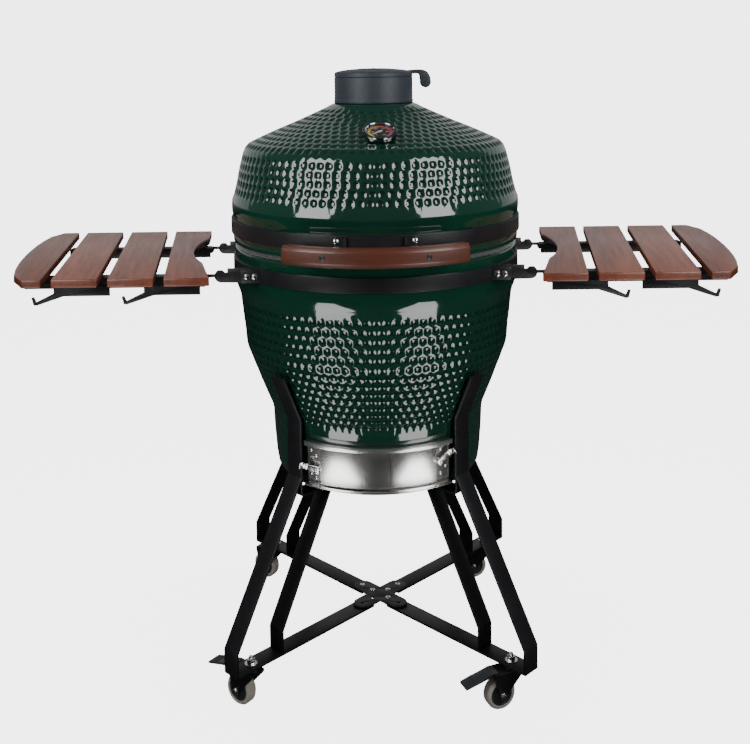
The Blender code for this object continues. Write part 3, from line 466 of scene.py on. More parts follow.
def finish_piece(name, shape, body, finishes, replaces=(), crease=38.0):
    """Makes a piece from a bmesh and lets it ride on a body."""
    mesh = bpy.data.meshes.new(name)
    shape.to_mesh(mesh)
    shape.free()
    for finish in finishes:
        mesh.materials.append(FINISHES[finish])
    mesh.shade_smooth()
    mesh.set_sharp_from_angle(angle=math.radians(crease))
    obj = bpy.data.objects.new(name, mesh)
    bpy.context.scene.collection.objects.link(obj)
    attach(obj, body)
    if replaces:
        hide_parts(*replaces)
    return obj


def gather(shape, other, matrix=None, finish=None):
    """Adds another bmesh to a shape, moved by a matrix and with one material index."""
    if matrix is not None:
        moved(other, matrix)
    if finish is not None:
        for face in other.faces:
            face.material_index = finish
    carrier = bpy.data.meshes.new("carrier")
    other.to_mesh(carrier)
    other.free()
    shape.from_mesh(carrier)
    bpy.data.meshes.remove(carrier)
    return shape


def filleted(points, radius, closed=True, count=4, least=12.0):
    """The same outline with its corners rounded by arcs."""
    result = []
    total = len(points)
    for index, point in enumerate(points):
        here = Vector(point)
        if not closed and index in (0, total - 1):
            result.append(tuple(here))
            continue
        before = Vector(points[index - 1]) - here
        after = Vector(points[(index + 1) % total]) - here
        turn = math.pi - before.angle(after)
        if turn < math.radians(least):
            result.append(tuple(here))
            continue
        reach = min(radius * math.tan(turn / 2), before.length * 0.45, after.length * 0.45)
        start = here + before.normalized() * reach
        end = here + after.normalized() * reach
        for step in range(count + 1):
            share = step / count
            result.append(tuple(start * (1 - share) ** 2 + here * 2 * share * (1 - share) + end * share**2))
    return result


def spun(profile, steps=128, closed=True, sectors=1):
    """A (radius, height) profile turned about Z, its seam and poles closed. Sectors keep a fine one quick."""
    shape = bmesh.new()
    points = [shape.verts.new((radius, 0.0, z)) for radius, z in profile]
    edges = [shape.edges.new(pair) for pair in zip(points, points[1:])]
    if closed:
        edges.append(shape.edges.new((points[-1], points[0])))
    bmesh.ops.spin(
        shape, geom=points + edges, cent=(0, 0, 0), axis=(0, 0, 1), angle=math.tau / sectors,
        steps=steps // sectors, use_merge=sectors == 1, use_duplicate=False)
    if sectors > 1:
        first = shape.copy()
        for index in range(1, sectors):
            gather(shape, first.copy(), Matrix.Rotation(math.tau * index / sectors, 4, "Z"))
        first.free()
    bmesh.ops.remove_doubles(shape, verts=shape.verts, dist=2e-6)
    bmesh.ops.recalc_face_normals(shape, faces=shape.faces)
    return shape


def swept(section, start, end, steps, centre=(0.0, 0.0)):
    """A closed (radius, height) section carried round part of a circle, with both ends capped."""
    shape = bmesh.new()
    face = shape.faces.new([shape.verts.new((radius, 0.0, z)) for radius, z in section])
    turn = Matrix.Rotation(math.radians(start), 3, "Z")
    bmesh.ops.rotate(shape, verts=shape.verts, cent=(0, 0, 0), matrix=turn)
    bmesh.ops.spin(
        shape, geom=[face] + list(face.edges) + list(face.verts), cent=(0, 0, 0), axis=(0, 0, 1),
        angle=math.radians(end - start), steps=steps, use_duplicate=False)
    bmesh.ops.translate(shape, vec=(centre[0], centre[1], 0.0), verts=shape.verts)
    bmesh.ops.recalc_face_normals(shape, faces=shape.faces)
    return shape


def slab(outline, low, high, plane="XY"):
    """A flat outline given thickness along the axis that its plane leaves out."""
    shape = bmesh.new()
    lift = {"XY": lambda a, b: (a, b, low), "XZ": lambda a, b: (a, low, b), "YZ": lambda a, b: (low, a, b)}
    face = shape.faces.new([shape.verts.new(lift[plane](a, b)) for a, b in outline])
    grown = bmesh.ops.extrude_face_region(shape, geom=[face])
    lifted = [part for part in grown["geom"] if isinstance(part, bmesh.types.BMVert)]
    step = {"XY": (0, 0, high - low), "XZ": (0, high - low, 0), "YZ": (high - low, 0, 0)}[plane]
    bmesh.ops.translate(shape, vec=step, verts=lifted)
    bmesh.ops.recalc_face_normals(shape, faces=shape.faces)
    return shape


def plate_along(middle, width, thick):
    """A flat strip whose middle follows a path in the XZ plane."""
    left = []
    right = []
    for index, point in enumerate(middle):
        before = Vector(middle[max(index - 1, 0)])
        after = Vector(middle[min(index + 1, len(middle) - 1)])
        along = (after - before).normalized()
        normal = Vector((-along.y, along.x)) * thick / 2
        left.append(tuple(Vector(point) + normal))
        right.append(tuple(Vector(point) - normal))
    return slab(left + right[::-1], -width / 2, width / 2, "XZ")


def eased(shape, width, segments=2, least=30.0):
    """Bevels every edge that is sharper than an angle."""
    sharp = [edge for edge in shape.edges
             if len(edge.link_faces) == 2 and edge.calc_face_angle() > math.radians(least)]
    if sharp:
        bmesh.ops.bevel(
            shape, geom=sharp, offset=width, offset_type="OFFSET", segments=segments, profile=0.5,
            affect="EDGES", clamp_overlap=True, material=-1)
    return shape


def copied(node, width=0.0006, segments=2):
    """A merged copy of a frame node with its sharp edges eased."""
    shape = bmesh.new()
    shape.from_mesh(NODES[node].data)
    bmesh.ops.remove_doubles(shape, verts=shape.verts, dist=2e-6)
    bmesh.ops.dissolve_limit(
        shape, angle_limit=math.radians(0.6), verts=shape.verts, edges=shape.edges,
        use_dissolve_boundaries=False)
    return eased(shape, width, segments)


def moved(shape, matrix):
    """The same shape with its points turned and shifted."""
    bmesh.ops.transform(shape, matrix=matrix, verts=shape.verts)
    return shape


def ring_section(inner, outer, low, high, fillet, count=4):
    """A rectangle of (radius, height) points with rounded corners, for a band or a bent sheet."""
    corners = [(outer, high), (outer, low), (inner, low), (inner, high)]
    return filleted(corners, fillet, count=count)


def ease_node(node, body, width=0.0008, finish="coat", prefix="eased_"):
    """Replaces a frame node with a copy whose sharp edges are eased."""
    finish_piece(prefix + node, copied(node, width), body, [finish], [node])


def bright_fasteners(name, shape, body):
    """A group of bolts, nuts, screws or rivets that ride on one body."""
    finish_piece(name, shape, body, ["bright"])


def facing(place, normal):
    """A matrix that stands a shape made round Z on a point, pointing along a normal."""
    turn = Vector(normal).to_track_quat("Z", "Y").to_matrix().to_4x4()
    return Matrix.Translation(place) @ turn


def seat(node, origin, direction):
    """Where a ray first meets a frame node, as a matrix that stands a fastener on that face."""
    mesh = NODES[node].data
    points = [vert.co for vert in mesh.vertices]
    tree = BVHTree.FromPolygons(points, [face.vertices for face in mesh.polygons])
    place, normal, _, _ = tree.ray_cast(Vector(origin), Vector(direction))
    if place is None:
        raise RuntimeError(f"no face of {node} to put a fastener on")
    return facing(place, normal)


def hex_bolt(radius, height, washer=1.5):
    """A hexagon head on a washer, standing on z = 0."""
    shape = spun(filleted([
        (0.0, radius * 0.18), (radius * washer, radius * 0.18), (radius * washer, -radius * 0.2),
        (0.0, -radius * 0.2)], radius * 0.08, closed=False, count=2), 28, closed=False)
    head = bmesh.new()
    bmesh.ops.create_cone(
        head, cap_ends=True, segments=6, radius1=radius, radius2=radius, depth=height)
    bmesh.ops.translate(head, vec=(0, 0, height / 2 + radius * 0.18), verts=head.verts)
    eased(head, radius * 0.1)
    return gather(shape, head)


def dome_head(radius, height, socket=True):
    """A round button head standing on z = 0, with a driving recess."""
    profile = [(radius, -radius * 0.1), (radius, height * 0.25)]
    for step in range(1, 5):
        angle = math.radians(18.0 * step)
        profile.append((radius * math.cos(angle), height * (0.25 + 0.75 * math.sin(angle))))
    if socket:
        profile += [(radius * 0.30, height * 0.98), (radius * 0.24, height * 0.45)]
        profile += [(0.0, height * 0.40)]
    else:
        profile += [(0.0, height)]
    return spun([(0.0, -radius * 0.1)] + profile, 20, closed=False)


def polar(radius, degrees, z):
    angle = math.radians(degrees)
    return Vector((radius * math.cos(angle), radius * math.sin(angle), z))


def mark_grain(shape, along, offset):
    """Stores where each point lies along, across and up the wood, so that the grain follows the piece."""
    layer = shape.verts.layers.float_vector.new("grain")
    for vert in shape.verts:
        vert[layer] = Vector(along(vert.co)) + Vector(offset)


def smooth_curve(points, step):
    """Points about a step apart on a smooth curve through the given ones."""
    knots = [Vector(point) for point in points]
    knots = [knots[0] * 2 - knots[1]] + knots + [knots[-1] * 2 - knots[-2]]
    result = []
    for first, second, third, fourth in zip(knots, knots[1:], knots[2:], knots[3:]):
        count = max(1, round((third - second).length / step))
        for index in range(count):
            t = index / count
            result.append(0.5 * (
                second * 2 + (third - first) * t
                + (first * 2 - second * 5 + third * 4 - fourth) * t * t
                + (second * 3 - first - third * 3 + fourth) * t**3))
    return [tuple(point) for point in result] + [tuple(knots[-2])]


# ---------------------------------------------------------------- glazed shells

def dimple_rows(curve, pitch, follow):
    """Running lengths along a curve and the rows on it. A following row is as tall as a dimple is wide."""
    widest = max(radius for radius, _ in curve)
    lengths = [0.0]
    for here, after in zip(curve, curve[1:]):
        shrink = (here[0] + after[0]) / 2 / widest if follow else 1.0
        lengths.append(lengths[-1] + math.dist(here, after) / shrink)
    count = max(1, round(lengths[-1] / pitch))
    actual = lengths[-1] / count
    rows = []
    for index in range(count):
        middle = actual * (index + 0.5)
        nearest = min(range(len(curve)), key=lambda place: abs(lengths[place] - middle))
        rows.append((middle, curve[nearest][0]))
    return lengths, rows, actual, widest


def press_dimples(shape, zones):
    """Pushes round dimples into the outside of a spun shell, in rows offset by half a step."""
    look = bpy.context.scene.kamado_ceramic
    pool = shape.verts.layers.float.new("pool")
    table = {}
    row_number = 0
    for curve, pitch, follow in zones:
        lengths, rows, actual, widest = dimple_rows(curve, pitch, follow)
        for index, (point, length) in enumerate(zip(curve, lengths)):
            near = min(range(len(rows)), key=lambda row: abs(rows[row][0] - length))
            middle, row_radius = rows[near]
            around = look.dimples_round
            if not follow:
                around = round(around * row_radius / look.full_radius)
            before = Vector(curve[max(index - 1, 0)])
            after = Vector(curve[min(index + 1, len(curve) - 1)])
            along = (after - before).normalized()
            inward = Vector((along.y, -along.x))
            row_tall = actual * (point[0] / widest if follow else 1.0)
            table[round(point[0], 4), round(point[1], 4)] = (
                (length - middle) / actual, row_number + near, inward, row_tall, math.tau / around)
        row_number += len(rows)
    for vert in shape.verts:
        radius = math.hypot(vert.co.x, vert.co.y)
        found = table.get((round(radius, 4), round(vert.co.z, 4)))
        if not found:
            continue
        share, row, inward, actual, step = found
        angle = math.atan2(vert.co.y, vert.co.x) / step + 0.5 * (row % 2)
        across = (angle - round(angle)) * step * radius
        wide = min(0.44 * step * radius, 0.47 * actual)
        tall = 0.47 * actual
        reach = (across / wide) ** 2 + (share * actual / tall) ** 2
        if reach >= 1.0:
            continue
        bowl = 1.0 - reach
        depth = look.dimple_depth * bowl * min(1.0, wide / 0.0078)
        outward = vert.co.xy.normalized()
        vert.co.x -= outward.x * -inward.x * depth
        vert.co.y -= outward.y * -inward.x * depth
        vert.co.z += inward.y * depth
        vert[pool] = bowl


def lid_shell():
    look = bpy.context.scene.kamado_ceramic
    cone_rows = smooth_curve(LID_CONE, look.lid_pitch / DIMPLE_RINGS)
    side_rows = smooth_curve(LID_SIDE, look.lid_pitch / DIMPLE_RINGS)
    lip = smooth_curve(LID_LIP, 0.006)
    profile = LID_TOP + cone_rows + side_rows + lip + LID_INSIDE
    shape = spun(profile, look.dimples_round * DIMPLE_COLUMNS, sectors=SPUN_SECTORS)
    press_dimples(shape, [(cone_rows, look.lid_pitch * 1.03, False), (side_rows, look.lid_pitch, False)])
    clay_inside(shape, LID_INSIDE[1:])
    return shape


def clay_inside(shape, inside):
    """Gives the faces between the inner outline's points the second material."""
    marks = {(round(radius, 4), round(z, 4)) for radius, z in inside}
    for face in shape.faces:
        if all((round(v.co.xy.length, 4), round(v.co.z, 4)) in marks for v in face.verts):
            face.material_index = 1


def base_shell():
    look = bpy.context.scene.kamado_ceramic
    belt = smooth_curve(BASE_BELT, 0.005)
    body_rows = smooth_curve(BASE_BODY, look.base_pitch / DIMPLE_RINGS)
    profile = BASE_INSIDE + BASE_RIM + belt + body_rows + BASE_FOOT
    steps = look.dimples_round * DIMPLE_COLUMNS
    shape = spun(profile, steps, closed=False, sectors=SPUN_SECTORS)
    press_dimples(shape, [(body_rows, look.base_pitch, True)])
    clay_inside(shape, BASE_INSIDE)
    half = WINDOW_STEPS * 360.0 / steps
    hole = []
    for face in shape.faces:
        middle = face.calc_center_median()
        turn = math.degrees(math.atan2(middle.y, middle.x)) - FRONT
        if abs(turn) < half and WINDOW_BOTTOM < middle.z < WINDOW_TOP and middle.xy.length > 0.15:
            hole.append(face)
    bmesh.ops.delete(shape, geom=hole, context="FACES")
    rims = [edge for edge in shape.edges if len(edge.link_faces) == 1]
    bridge = bmesh.ops.bridge_loops(shape, edges=rims)
    for face in bridge["faces"]:
        face.material_index = 1
    bmesh.ops.recalc_face_normals(shape, faces=shape.faces)
    return shape


# ---------------------------------------------------------------- operators

class KAMADO_OT_stage(bpy.types.Operator):
    """Lay the floor and backdrop, hang the softboxes and set the camera"""

    bl_idname = "kamado.stage"
    bl_label = "Stage"

    def execute(self, context):
        look = context.scene.kamado_studio
        self.sheet(look)
        self.lights(context, look)
        self.camera(context)
        return {"FINISHED"}

    def sheet(self, look):
        """One pale sheet for the floor and backdrop. Only the backdrop shows in the gloss of the grill."""
        ground = Finish("studio_sheet", {"Specular IOR Level": 0.1, "Emission Color": (1.0, 1.0, 1.0)})
        mottle = ground.noise(ground.place(), 2.0)
        ground.vary("Base Color", ground.blend(mottle * 0.1, tuple(look.floor), (0.40, 0.40, 0.40)))
        ground.vary("Roughness", 0.75 + mottle * 0.1)
        here = ground.node("ShaderNodeTexCoord", output="Object")
        height = (ground.node("ShaderNodeSeparateXYZ", inputs={"Vector": here}, output="Z") * 1.5).clipped()
        seen = ground.node("ShaderNodeLightPath", output="Is Camera Ray")
        mirrored = ground.node("ShaderNodeLightPath", output="Is Glossy Ray")
        ground.vary("Emission Strength", seen * look.glow + mirrored * height * look.mirrored)
        dim = ground.node("ShaderNodeBsdfDiffuse", inputs={"Color": (0.03, 0.03, 0.03, 1.0)})
        shown = ground.node("ShaderNodeMixShader", inputs={
            0: mirrored * (1.0 - height), 1: Signal(ground.tree, ground.shader.outputs[0]), 2: dim})
        ground.tree.links.new(shown.socket, ground.tree.nodes["Material Output"].inputs["Surface"])
        run = filleted([(-9.0, 0.0), (6.0, 0.0), (6.0, 8.0)], 2.0, closed=False, count=12)
        shape = bmesh.new()
        edges = []
        for x in (-12.0, 12.0):
            row = [shape.verts.new((x, y, z)) for y, z in run]
            edges += [shape.edges.new(pair) for pair in zip(row, row[1:])]
        bmesh.ops.bridge_loops(shape, edges=edges)
        bmesh.ops.recalc_face_normals(shape, faces=shape.faces)
        mesh = bpy.data.meshes.new("studio_sheet")
        shape.to_mesh(mesh)
        shape.free()
        mesh.materials.append(ground.material)
        mesh.shade_smooth()
        obj = bpy.data.objects.new("studio_sheet", mesh)
        bpy.context.scene.collection.objects.link(obj)

    def lights(self, context, look):
        world = bpy.data.worlds.new("studio")
        world.use_nodes = True
        sky = world.node_tree
        seen = Signal(sky, sky.nodes.new("ShaderNodeLightPath").outputs["Is Camera Ray"])
        join(sky, (0.96, 0.98, 1.0, 1.0), sky.nodes["Background"].inputs["Color"])
        join(sky, seen * look.glow + look.ambient, sky.nodes["Background"].inputs["Strength"])
        context.scene.world = world
        power = look.softbox_power
        for side, sign in SIDES.items():
            upper = Vector((sign * 0.95, -0.98, 1.42))
            inward = Vector((0.0, 0.0, 1.10)) - upper
            self.box_light("softbox_" + side, upper, inward, UP, (0.66, 0.95), power)
            outward = Vector((sign * 0.64, -0.77, 0.0))
            low = Vector((sign * 0.10, -0.22, 0.012)) + outward * 1.27
            self.box_light("low_box_" + side, low, UP, outward, (0.52, 1.45), power * 0.95)
            over = Vector((sign * 1.35, 0.25, 2.3))
            down = Vector((sign * 0.5, 0.0, 0.86)) - over
            lamp = self.box_light("shelf_light_" + side, over, down, UP, (0.9, 0.9), power * 2.4)
            lamp.visible_glossy = False

    def box_light(self, name, place, direction, long, size, power):
        """An area light that shines along a direction, with its second side along another."""
        light = bpy.data.lights.new(name, "AREA")
        light.shape = "RECTANGLE"
        light.size, light.size_y = size
        light.energy = power
        back = -direction.normalized()
        upward = (long - back * long.dot(back)).normalized()
        lamp = bpy.data.objects.new(name, light)
        turn = Matrix((upward.cross(back), upward, back)).transposed()
        lamp.matrix_world = Matrix.Translation(place) @ turn.to_4x4()
        lamp.visible_camera = False
        bpy.context.scene.collection.objects.link(lamp)
        return lamp

    def camera(self, context):
        camera = bpy.data.cameras.new("camera")
        camera.sensor_width = 36.0
        camera.lens = CAMERA_LENS
        camera.shift_x, camera.shift_y = CAMERA_SHIFT
        view = bpy.data.objects.new("camera", camera)
        tilt = Matrix.Rotation(math.radians(CAMERA_TILT), 4, "X")
        roll = Matrix.Rotation(CAMERA_ROLL, 4, "Z")
        view.matrix_world = Matrix.Translation(CAMERA_PLACE) @ tilt @ roll
        context.scene.collection.objects.link(view)
        context.scene.camera = view


class KAMADO_OT_ceramics(bpy.types.Operator):
    """Turn the glazed lid and base with their pressed dimples"""

    bl_idname = "kamado.ceramics"
    bl_label = "Glazed ceramics"

    def execute(self, context):
        finishes = ["glaze", "clay"]
        finish_piece("glazed_lid", lid_shell(), LID, finishes, ["dome_lid"], 60.0)
        finish_piece("glazed_base", base_shell(), BASE, finishes, ["base_shell"], 60.0)
        return {"FINISHED"}


class KAMADO_OT_firebox(bpy.types.Operator):
    """Give the clay fire box, fire ring and both grates their surfaces"""

    bl_idname = "kamado.firebox"
    bl_label = "Fire box and grates"

    def execute(self, context):
        ring = filleted([(0.258, 0.815), (0.244, 0.7003), (0.222, 0.7003), (0.232, 0.815)], 0.004)
        finish_piece("clay_fire_ring", spun(ring, 120), BASE, ["clay"], ["fire_ring"])
        ease_node("fire_box", BASE, 0.003, "clay", "clay_")
        for node in ("charcoal_grate", "cooking_grate"):
            ease_node(node, BASE, 0.0018, "iron", "iron_")
        return {"FINISHED"}


class KAMADO_OT_bands(bpy.types.Operator):
    """Wrap the steel bands and felt gaskets round the rims"""

    bl_idname = "kamado.bands"
    bl_label = "Bands and gaskets"

    def execute(self, context):
        for name, body in (("lower", BASE), ("upper", LID)):
            low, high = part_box(name + "_band")
            section = ring_section(high.x - 0.0034, high.x, low.z, high.z, 0.0009)
            shape = spun(section, 240)
            finish_piece(name + "_steel_band", shape, body, ["coat"], [name + "_band"])
            low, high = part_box(name + "_gasket")
            section = ring_section(0.277, high.x, low.z, high.z, 0.0012)
            shape = spun(section, 240)
            finish_piece(name + "_felt_gasket", shape, body, ["felt"], [name + "_gasket"])
        return {"FINISHED"}


class KAMADO_OT_hinge(bpy.types.Operator):
    """Make the lid hinge: brackets, pin, springs and bolts"""

    bl_idname = "kamado.hinge"
    bl_label = "Lid hinge"

    def execute(self, context):
        for node, body in (("hinge_lower_bracket", BASE), ("hinge_upper_bracket", LID)):
            ease_node(node, body)
            bolts = bmesh.new()
            height = 0.924 if node == "hinge_upper_bracket" else 0.8435
            for x in (-0.055, -0.020, 0.020, 0.055):
                gather(bolts, hex_bolt(0.0048, 0.0035), seat(node, (x, 0.6, height), (0, -1, 0)))
            bright_fasteners(node + "_bolts", bolts, body)
        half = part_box("hinge_pin")[1].x
        pin = [(0.0, half), (0.0046, half), (0.0060, half - 0.0014), (0.0060, -half + 0.0014)]
        pin += [(0.0046, -half), (0.0, -half)]
        across = Matrix.Translation(HINGE) @ Matrix.Rotation(math.radians(90), 4, "Y")
        shape = moved(spun(pin, 40, closed=False), across)
        finish_piece("turned_hinge_pin", shape, BASE, ["bright"], ["hinge_pin"])
        for node in ("hinge_spring_left", "hinge_spring_right"):
            self.spring(node)
        return {"FINISHED"}

    def spring(self, node):
        """A coil wound round the pin between the ends of its frame node."""
        low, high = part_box(node)
        wire = 0.0013
        mean = high.z - HINGE.z - wire
        turns = 13
        steps = turns * 18
        run = (high.x - low.x) - 2 * wire
        shape = bmesh.new()
        round_wire = [math.tau * index / 8 for index in range(8)]
        face = shape.faces.new([shape.verts.new((
            low.x + wire + wire * math.cos(angle), HINGE.y, HINGE.z + mean + wire * math.sin(angle)))
            for angle in round_wire])
        bmesh.ops.spin(
            shape, geom=[face] + list(face.edges) + list(face.verts), cent=(low.x, HINGE.y, HINGE.z),
            axis=(1, 0, 0), dvec=(run / steps, 0, 0), angle=turns * math.tau, steps=steps,
            use_duplicate=False)
        bmesh.ops.recalc_face_normals(shape, faces=shape.faces)
        finish_piece("coiled_" + node, shape, BASE, ["bright"], [node])


class KAMADO_OT_handle(bpy.types.Operator):
    """Make the curved wooden grip, its brackets and bolts, and black discs of painted shade for its screw
    holes
    """

    bl_idname = "kamado.handle"
    bl_label = "Front handle"

    def execute(self, context):
        look = context.scene.kamado_wood
        low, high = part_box("handle_grip")
        inner, outer = GRIP_RADII
        corner = look.grip_edge
        deep = corner * 0.6
        back = 0.003
        section = [
            (inner, low.z + back), (inner + back, low.z), (outer - deep, low.z), (outer, low.z + corner),
            (outer, high.z - corner), (outer - deep, high.z), (inner + back, high.z), (inner, high.z - back),
        ]
        section = filleted(section, 0.0010, count=2)
        half = GRIP_HALF_ANGLE
        shape = swept(section, FRONT - half, FRONT + half, 72, (0.0, GRIP_CENTRE_Y))
        ends = [edge for edge in shape.edges if edge.calc_length() > 0 and any(
            len(face.verts) > 6 for face in edge.link_faces)]
        bmesh.ops.bevel(
            shape, geom=ends, offset=deep, offset_type="OFFSET", segments=2, profile=0.5,
            affect="EDGES", clamp_overlap=True, material=-1)

        def along(co):
            angle = math.atan2(co.y - GRIP_CENTRE_Y, co.x)
            return (angle * outer, (co.xy - Vector((0.0, GRIP_CENTRE_Y))).length, co.z)

        mark_grain(shape, along, (3.1, 0.4, 0.0))
        finish_piece("bevelled_grip", shape, LID, ["grip"], ["handle_grip"], 28.0)
        # Black discs sit on the grip at its screw holes: painted shade standing in for the dark inside of
        # each hole.
        sockets = bmesh.new()
        middle = (low.z + high.z) / 2
        for x in (-GRIP_HOLE_X, GRIP_HOLE_X):
            y = GRIP_CENTRE_Y - math.sqrt(outer**2 - x**2)
            normal = Vector((x, y - GRIP_CENTRE_Y, 0.0)).normalized()
            profile = [(0.0, 0.0002), (0.0044, 0.0002), (0.0050, 0.0005), (0.0056, 0.0003), (0.0057, -0.0020)]
            gather(sockets, spun(profile, 28, closed=False), facing(Vector((x, y, middle)), normal))
        finish_piece("grip_hole_painted_shade", sockets, LID, ["black"])
        bolts = bmesh.new()
        for side, sign in SIDES.items():
            node = "handle_bracket_" + side
            ease_node(node, LID, 0.0007)
            at = seat(node, (sign * 0.0735, -0.6, 0.9305), (0, 1, 0))
            gather(bolts, dome_head(0.0058, 0.0048), at)
        bright_fasteners("handle_bolts", bolts, LID)
        return {"FINISHED"}


class KAMADO_OT_vent(bpy.types.Operator):
    """Turn the top vent and its slotted cap, and bend its lever"""

    bl_idname = "kamado.vent"
    bl_label = "Top vent"

    def execute(self, context):
        body = filleted([
            (VENT_RADIUS, VENT_TOP), (VENT_RADIUS, 1.1830), (0.0838, 1.1800), (0.0838, 1.1748),
            (0.0605, 1.1748), (0.0575, 1.1500), (0.0500, 1.1500), (0.0500, 1.1790),
            (0.0770, 1.1860), (0.0770, 1.2240), (0.0600, 1.2240), (0.0600, VENT_TOP)], 0.0010)
        body = [(min(radius, 0.0575) if z < 1.1748 and radius < 0.07 else radius, z) for radius, z in body]
        finish_piece("cast_vent_body", spun(body, 128), LID, ["casting"], ["vent_body"])
        finish_piece("cast_vent_cap", self.cap(), "vent_cap", ["casting"], ["vent_cap"])
        finish_piece("vent_lever", self.lever(), "vent_cap", ["casting"])
        pivot = dome_head(0.0075, 0.0035)
        bmesh.ops.translate(pivot, vec=(0, 0, 1.2440), verts=pivot.verts)
        finish_piece("vent_cap_screw", pivot, "vent_cap", ["casting"])
        return {"FINISHED"}

    def lever(self):
        """A flat arm that ends in a round bulb, hanging beside the vent."""
        arm = [(0.0700, 1.2345), (0.0700, 1.2420), (0.0900, 1.2432), (0.1040, 1.2428), (0.1150, 1.2375),
               (0.1210, 1.2270)]
        x, z = LEVER_BULB
        bulb = []
        for step in range(15):
            angle = math.radians(20.0 - 212.0 * step / 14)
            bulb.append((x + LEVER_BULB_RADIUS * math.cos(angle), z + LEVER_BULB_RADIUS * math.sin(angle)))
        under = [(0.0980, 1.2260), (0.0972, 1.2320), (0.0940, 1.2345)]
        outline = smooth_curve(arm[1:], 0.004) + bulb + under + arm[:1]
        return eased(slab(outline, -LEVER_HALF_WIDTH, LEVER_HALF_WIDTH, "XZ"), 0.0013, 3)

    def cap(self):
        """A shallow dome with two slots whose walls are bridged from top to bottom."""
        low = VENT_TOP + 0.0003
        top = [(0.0, 1.2470), (0.0220, 1.2468), (0.0310, 1.2463), (0.0400, 1.2457), (0.0500, 1.2449)]
        rim = [(0.0620, 1.2436), (0.0720, 1.2418), (0.0790, 1.2400), (0.0818, 1.2386), (0.0829, 1.2362)]
        under = [(0.0829, low + 0.0008), (0.0822, low), (0.0500, low), (0.0400, low), (0.0310, low)]
        under += [(0.0220, low), (0.0, low)]
        shape = spun(top + rim + under, 144, closed=False)
        hole = []
        for face in shape.faces:
            middle = face.calc_center_median()
            turn = math.degrees(math.atan2(middle.y, middle.x))
            inside = VENT_SLOT[0] < middle.xy.length < VENT_SLOT[1]
            if inside and abs(abs(turn) - 90.0) < VENT_SLOT_HALF_ANGLE:
                hole.append(face)
        bmesh.ops.delete(shape, geom=hole, context="FACES")
        for sign in (-1.0, 1.0):
            rims = [edge for edge in shape.edges
                    if len(edge.link_faces) == 1 and edge.verts[0].co.y * sign > 0]
            bmesh.ops.bridge_loops(shape, edges=rims)
        bmesh.ops.recalc_face_normals(shape, faces=shape.faces)
        return shape


